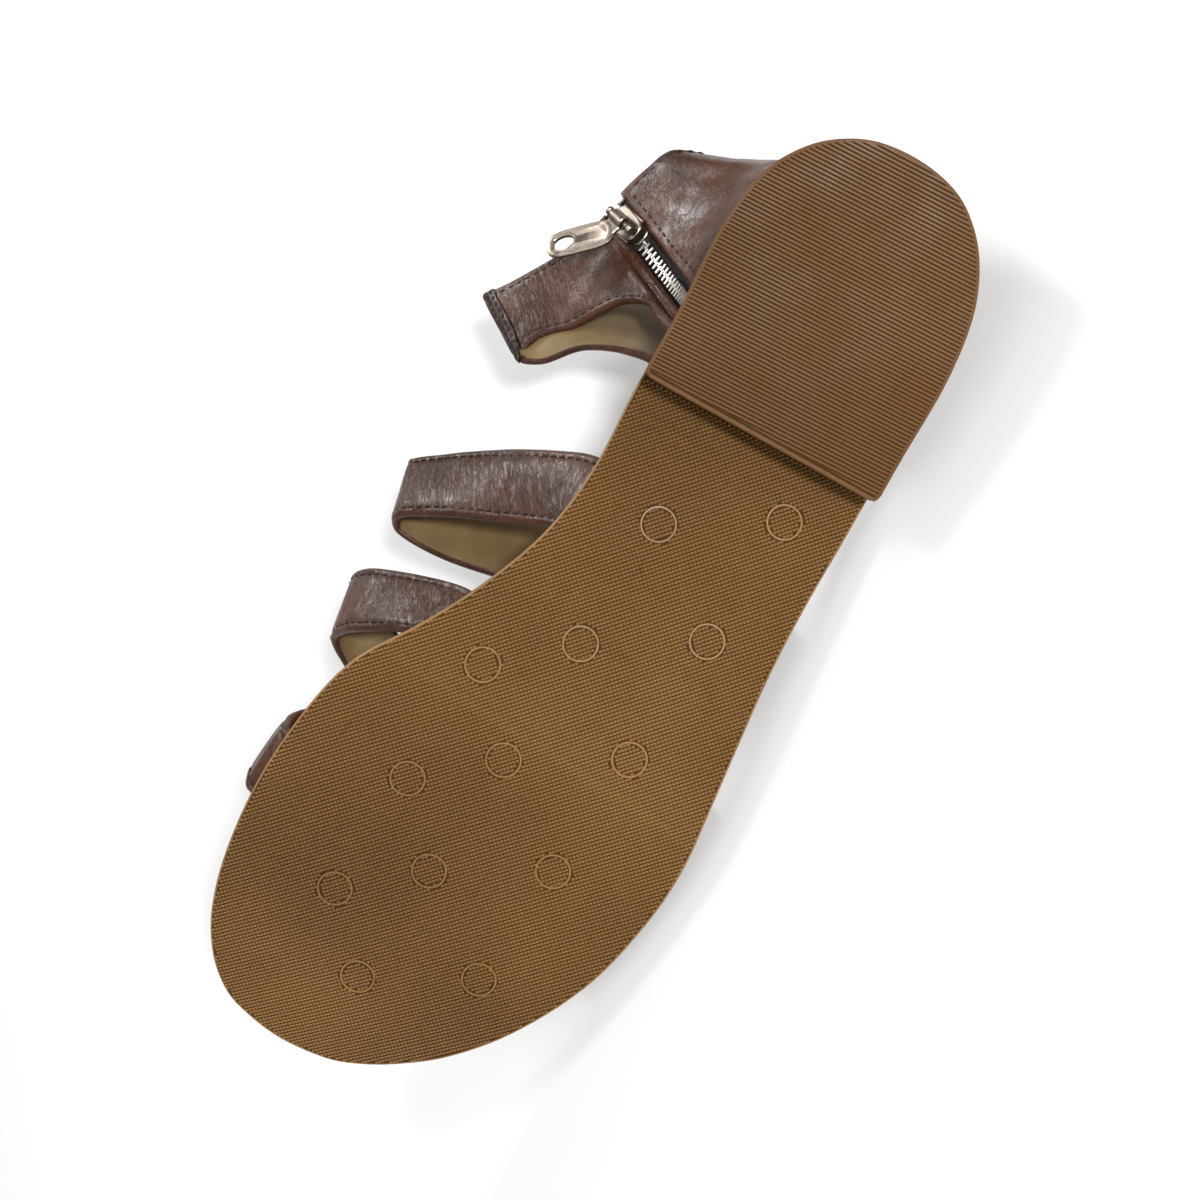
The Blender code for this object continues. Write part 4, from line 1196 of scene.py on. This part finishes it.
def front_binding(b, wall):
    """The overlapped strip at the front fold of the ankle strap."""
    us, _, outer, normal = wall
    k = int(np.argmin(np.abs(us - 0.35)))
    column, nor = outer[k], normal[k]
    k2 = int(np.argmin(np.abs(us - 0.0)))
    step = unit(outer[k2] - outer[k])
    rings = []
    for j in range(1, len(column) - 1):
        p, n, s = column[j], nor[j], step[j]
        section = [(-2.1, -0.1), (-1.95, 0.35), (-1.5, 0.55), (1.5, 0.55), (1.95, 0.35), (2.1, -0.1)]
        rings.append([p + s * a + n * c for a, c in section])
    pts, faces, _ = stack(rings)
    b.add(pts, faces)
    lines = []
    for off in (-0.95, 0.95):
        lines.append((column[1:-1] + step[1:-1] * off + nor[1:-1] * 0.55, nor[1:-1]))
    return lines


# Camera, lights and floor.

def camera():
    """Stands where the photograph's camera stood, turned to centre the shoe."""
    fx, fy = FRAME_CENTRE[0] - IMAGE / 2, FRAME_CENTRE[1] - IMAGE / 2
    axis = unit(CAMERA_AXIS * FOCAL_PIXELS + IMAGE_RIGHT * fx + IMAGE_DOWN * fy)
    right = unit(IMAGE_RIGHT - axis * (IMAGE_RIGHT @ axis))
    down = np.cross(axis, right)
    turn = np.column_stack([TURN @ right, -(TURN @ down), -(TURN @ axis)])
    data = bpy.data.cameras.new("camera")
    data.sensor_width = 36.0
    data.lens = 36.0 * FOCAL_PIXELS / IMAGE
    data.clip_start = 0.01
    item = bpy.data.objects.new("camera", data)
    bpy.context.scene.collection.objects.link(item)
    item.matrix_world = Matrix.Translation(Vector(place(CAMERA_AT))) @ Matrix(turn.tolist()).to_4x4()
    bpy.context.scene.camera = item
    return item


def area_light(name, at, target, size, power):
    data = bpy.data.lights.new(name, "AREA")
    data.shape = "SQUARE"
    data.size = size
    data.energy = power
    item = bpy.data.objects.new(name, data)
    bpy.context.scene.collection.objects.link(item)
    item.location = at
    item.rotation_euler = (Vector(target) - Vector(at)).to_track_quat("-Z", "Y").to_euler()


def studio():
    s = Shade("floor_pale", 0.7)
    s.set("Base Color", s.ramp(s.noise(3.0, 2.0), [(0.3, (0.86, 0.86, 0.86)), (0.7, (0.9, 0.9, 0.9))]))
    mesh = bpy.data.meshes.new("floor")
    mesh.from_pydata([(-4, -4, 0), (4, -4, 0), (4, 4, 0), (-4, 4, 0)], [], [(0, 1, 2, 3)])
    mesh.materials.append(s.mat)
    floor = bpy.data.objects.new("floor", mesh)
    bpy.context.scene.collection.objects.link(floor)
    world = bpy.data.worlds.new("studio")
    world.use_nodes = True
    world.node_tree.nodes["Background"].inputs["Color"].default_value = (1, 1, 1, 1)
    world.node_tree.nodes["Background"].inputs["Strength"].default_value = 0.26
    bpy.context.scene.world = world
    area_light("key", (-0.25, 0.62, 0.65), (-0.02, 0.01, 0.03), 0.10, 6.6)
    area_light("top", (-0.12, -0.78, 0.54), (-0.06, -0.03, 0.03), 0.22, 3.6)
    area_light("back", (-0.10, -0.40, 0.86), (-0.06, -0.02, 0.03), 0.2, 1.6)
    area_light("fill", (0.45, 0.30, 0.85), (0, 0, 0.03), 0.6, 2.2)
    bpy.context.scene.view_settings.view_transform = "Standard"


def main():
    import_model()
    brown = leather("leather_brown", srgb(60, 33, 20), srgb(94, 56, 36), rough=0.33, crease=1.1, coat=0.06)
    platform = leather("leather_platform", srgb(38, 21, 14), srgb(62, 37, 25), rough=0.36, crease=1.0, coat=0.08)
    inner = lining("lining_tan", srgb(104, 84, 54), srgb(138, 114, 77))
    sock = lining("insole_tan", srgb(165, 138, 102), srgb(196, 170, 132))
    tread = rubber("rubber_tan", srgb(122, 90, 52), srgb(146, 109, 66), rough=0.36, shine=0.22)
    # darker rubber for the tread's valley floors: painted shade
    tread_valley_shade = rubber("rubber_valley_shade", srgb(62, 43, 21), srgb(76, 53, 28), rough=0.6, shine=0.03)
    lift = rubber("lift_tan", srgb(94, 64, 33), srgb(110, 77, 43), rough=0.42)
    # darker rubber for the heel ribs' valley floors: painted shade
    lift_valley_shade = rubber("lift_valley_shade", srgb(68, 45, 22), srgb(80, 54, 28), rough=0.6, shine=0.03)
    stitch = thread("thread_brown", srgb(40, 24, 17))
    stitch_light = thread("thread_sand", srgb(150, 120, 84))
    steel = nickel("metal_nickel", (0.46, 0.43, 0.39), rough=0.28)
    bronze = nickel("metal_tab", (0.36, 0.30, 0.25), rough=0.34)
    tape = woven("tape_dark", srgb(34, 25, 20))

    camera()
    studio()
    outsole_piece([tread_valley_shade, tread])
    lift_piece([lift, lift_valley_shade])
    platform_pieces([platform])
    light_stitches = insole_piece([sock])
    light_stitches.make("stitches_insole", [stitch_light], "insole_tan")
    runs = Build()
    straps = (("strap_instep_leather", INSTEP, INSTEP_WIDTH, "strap_instep", 2.0, None),
              ("strap_rear_leather", FORE_REAR, STRAP_WIDTH, "strap_forefoot", 4.0, None),
              ("strap_toe_leather", FORE_FRONT, STRAP_WIDTH, "strap_forefoot", 6.0, CROSSING))
    for name, rows, width, node, seed, drop in straps:
        _, lines = strap(name, rows, width, [brown, inner], "leather_brown", (node,), seed, drop)
        for line, normal in lines:
            stitch_run(runs, line, normal)
    _, lines, wall = cuff_piece([brown, inner])
    for line, normal in lines:
        stitch_run(runs, line, normal)
    edge = Build()
    for line, normal in front_binding(edge, wall):
        stitch_run(runs, line, normal, pitch=2.4, length=1.8, radius=0.4)
    edge.make("ankle_strap_binding", [platform], "leather_brown")
    runs.make("stitches_upper", [stitch], "leather_brown")
    zip_tape([tape])
    zip_teeth([steel])
    slider_piece([bronze])
    pull_piece([bronze])


main()
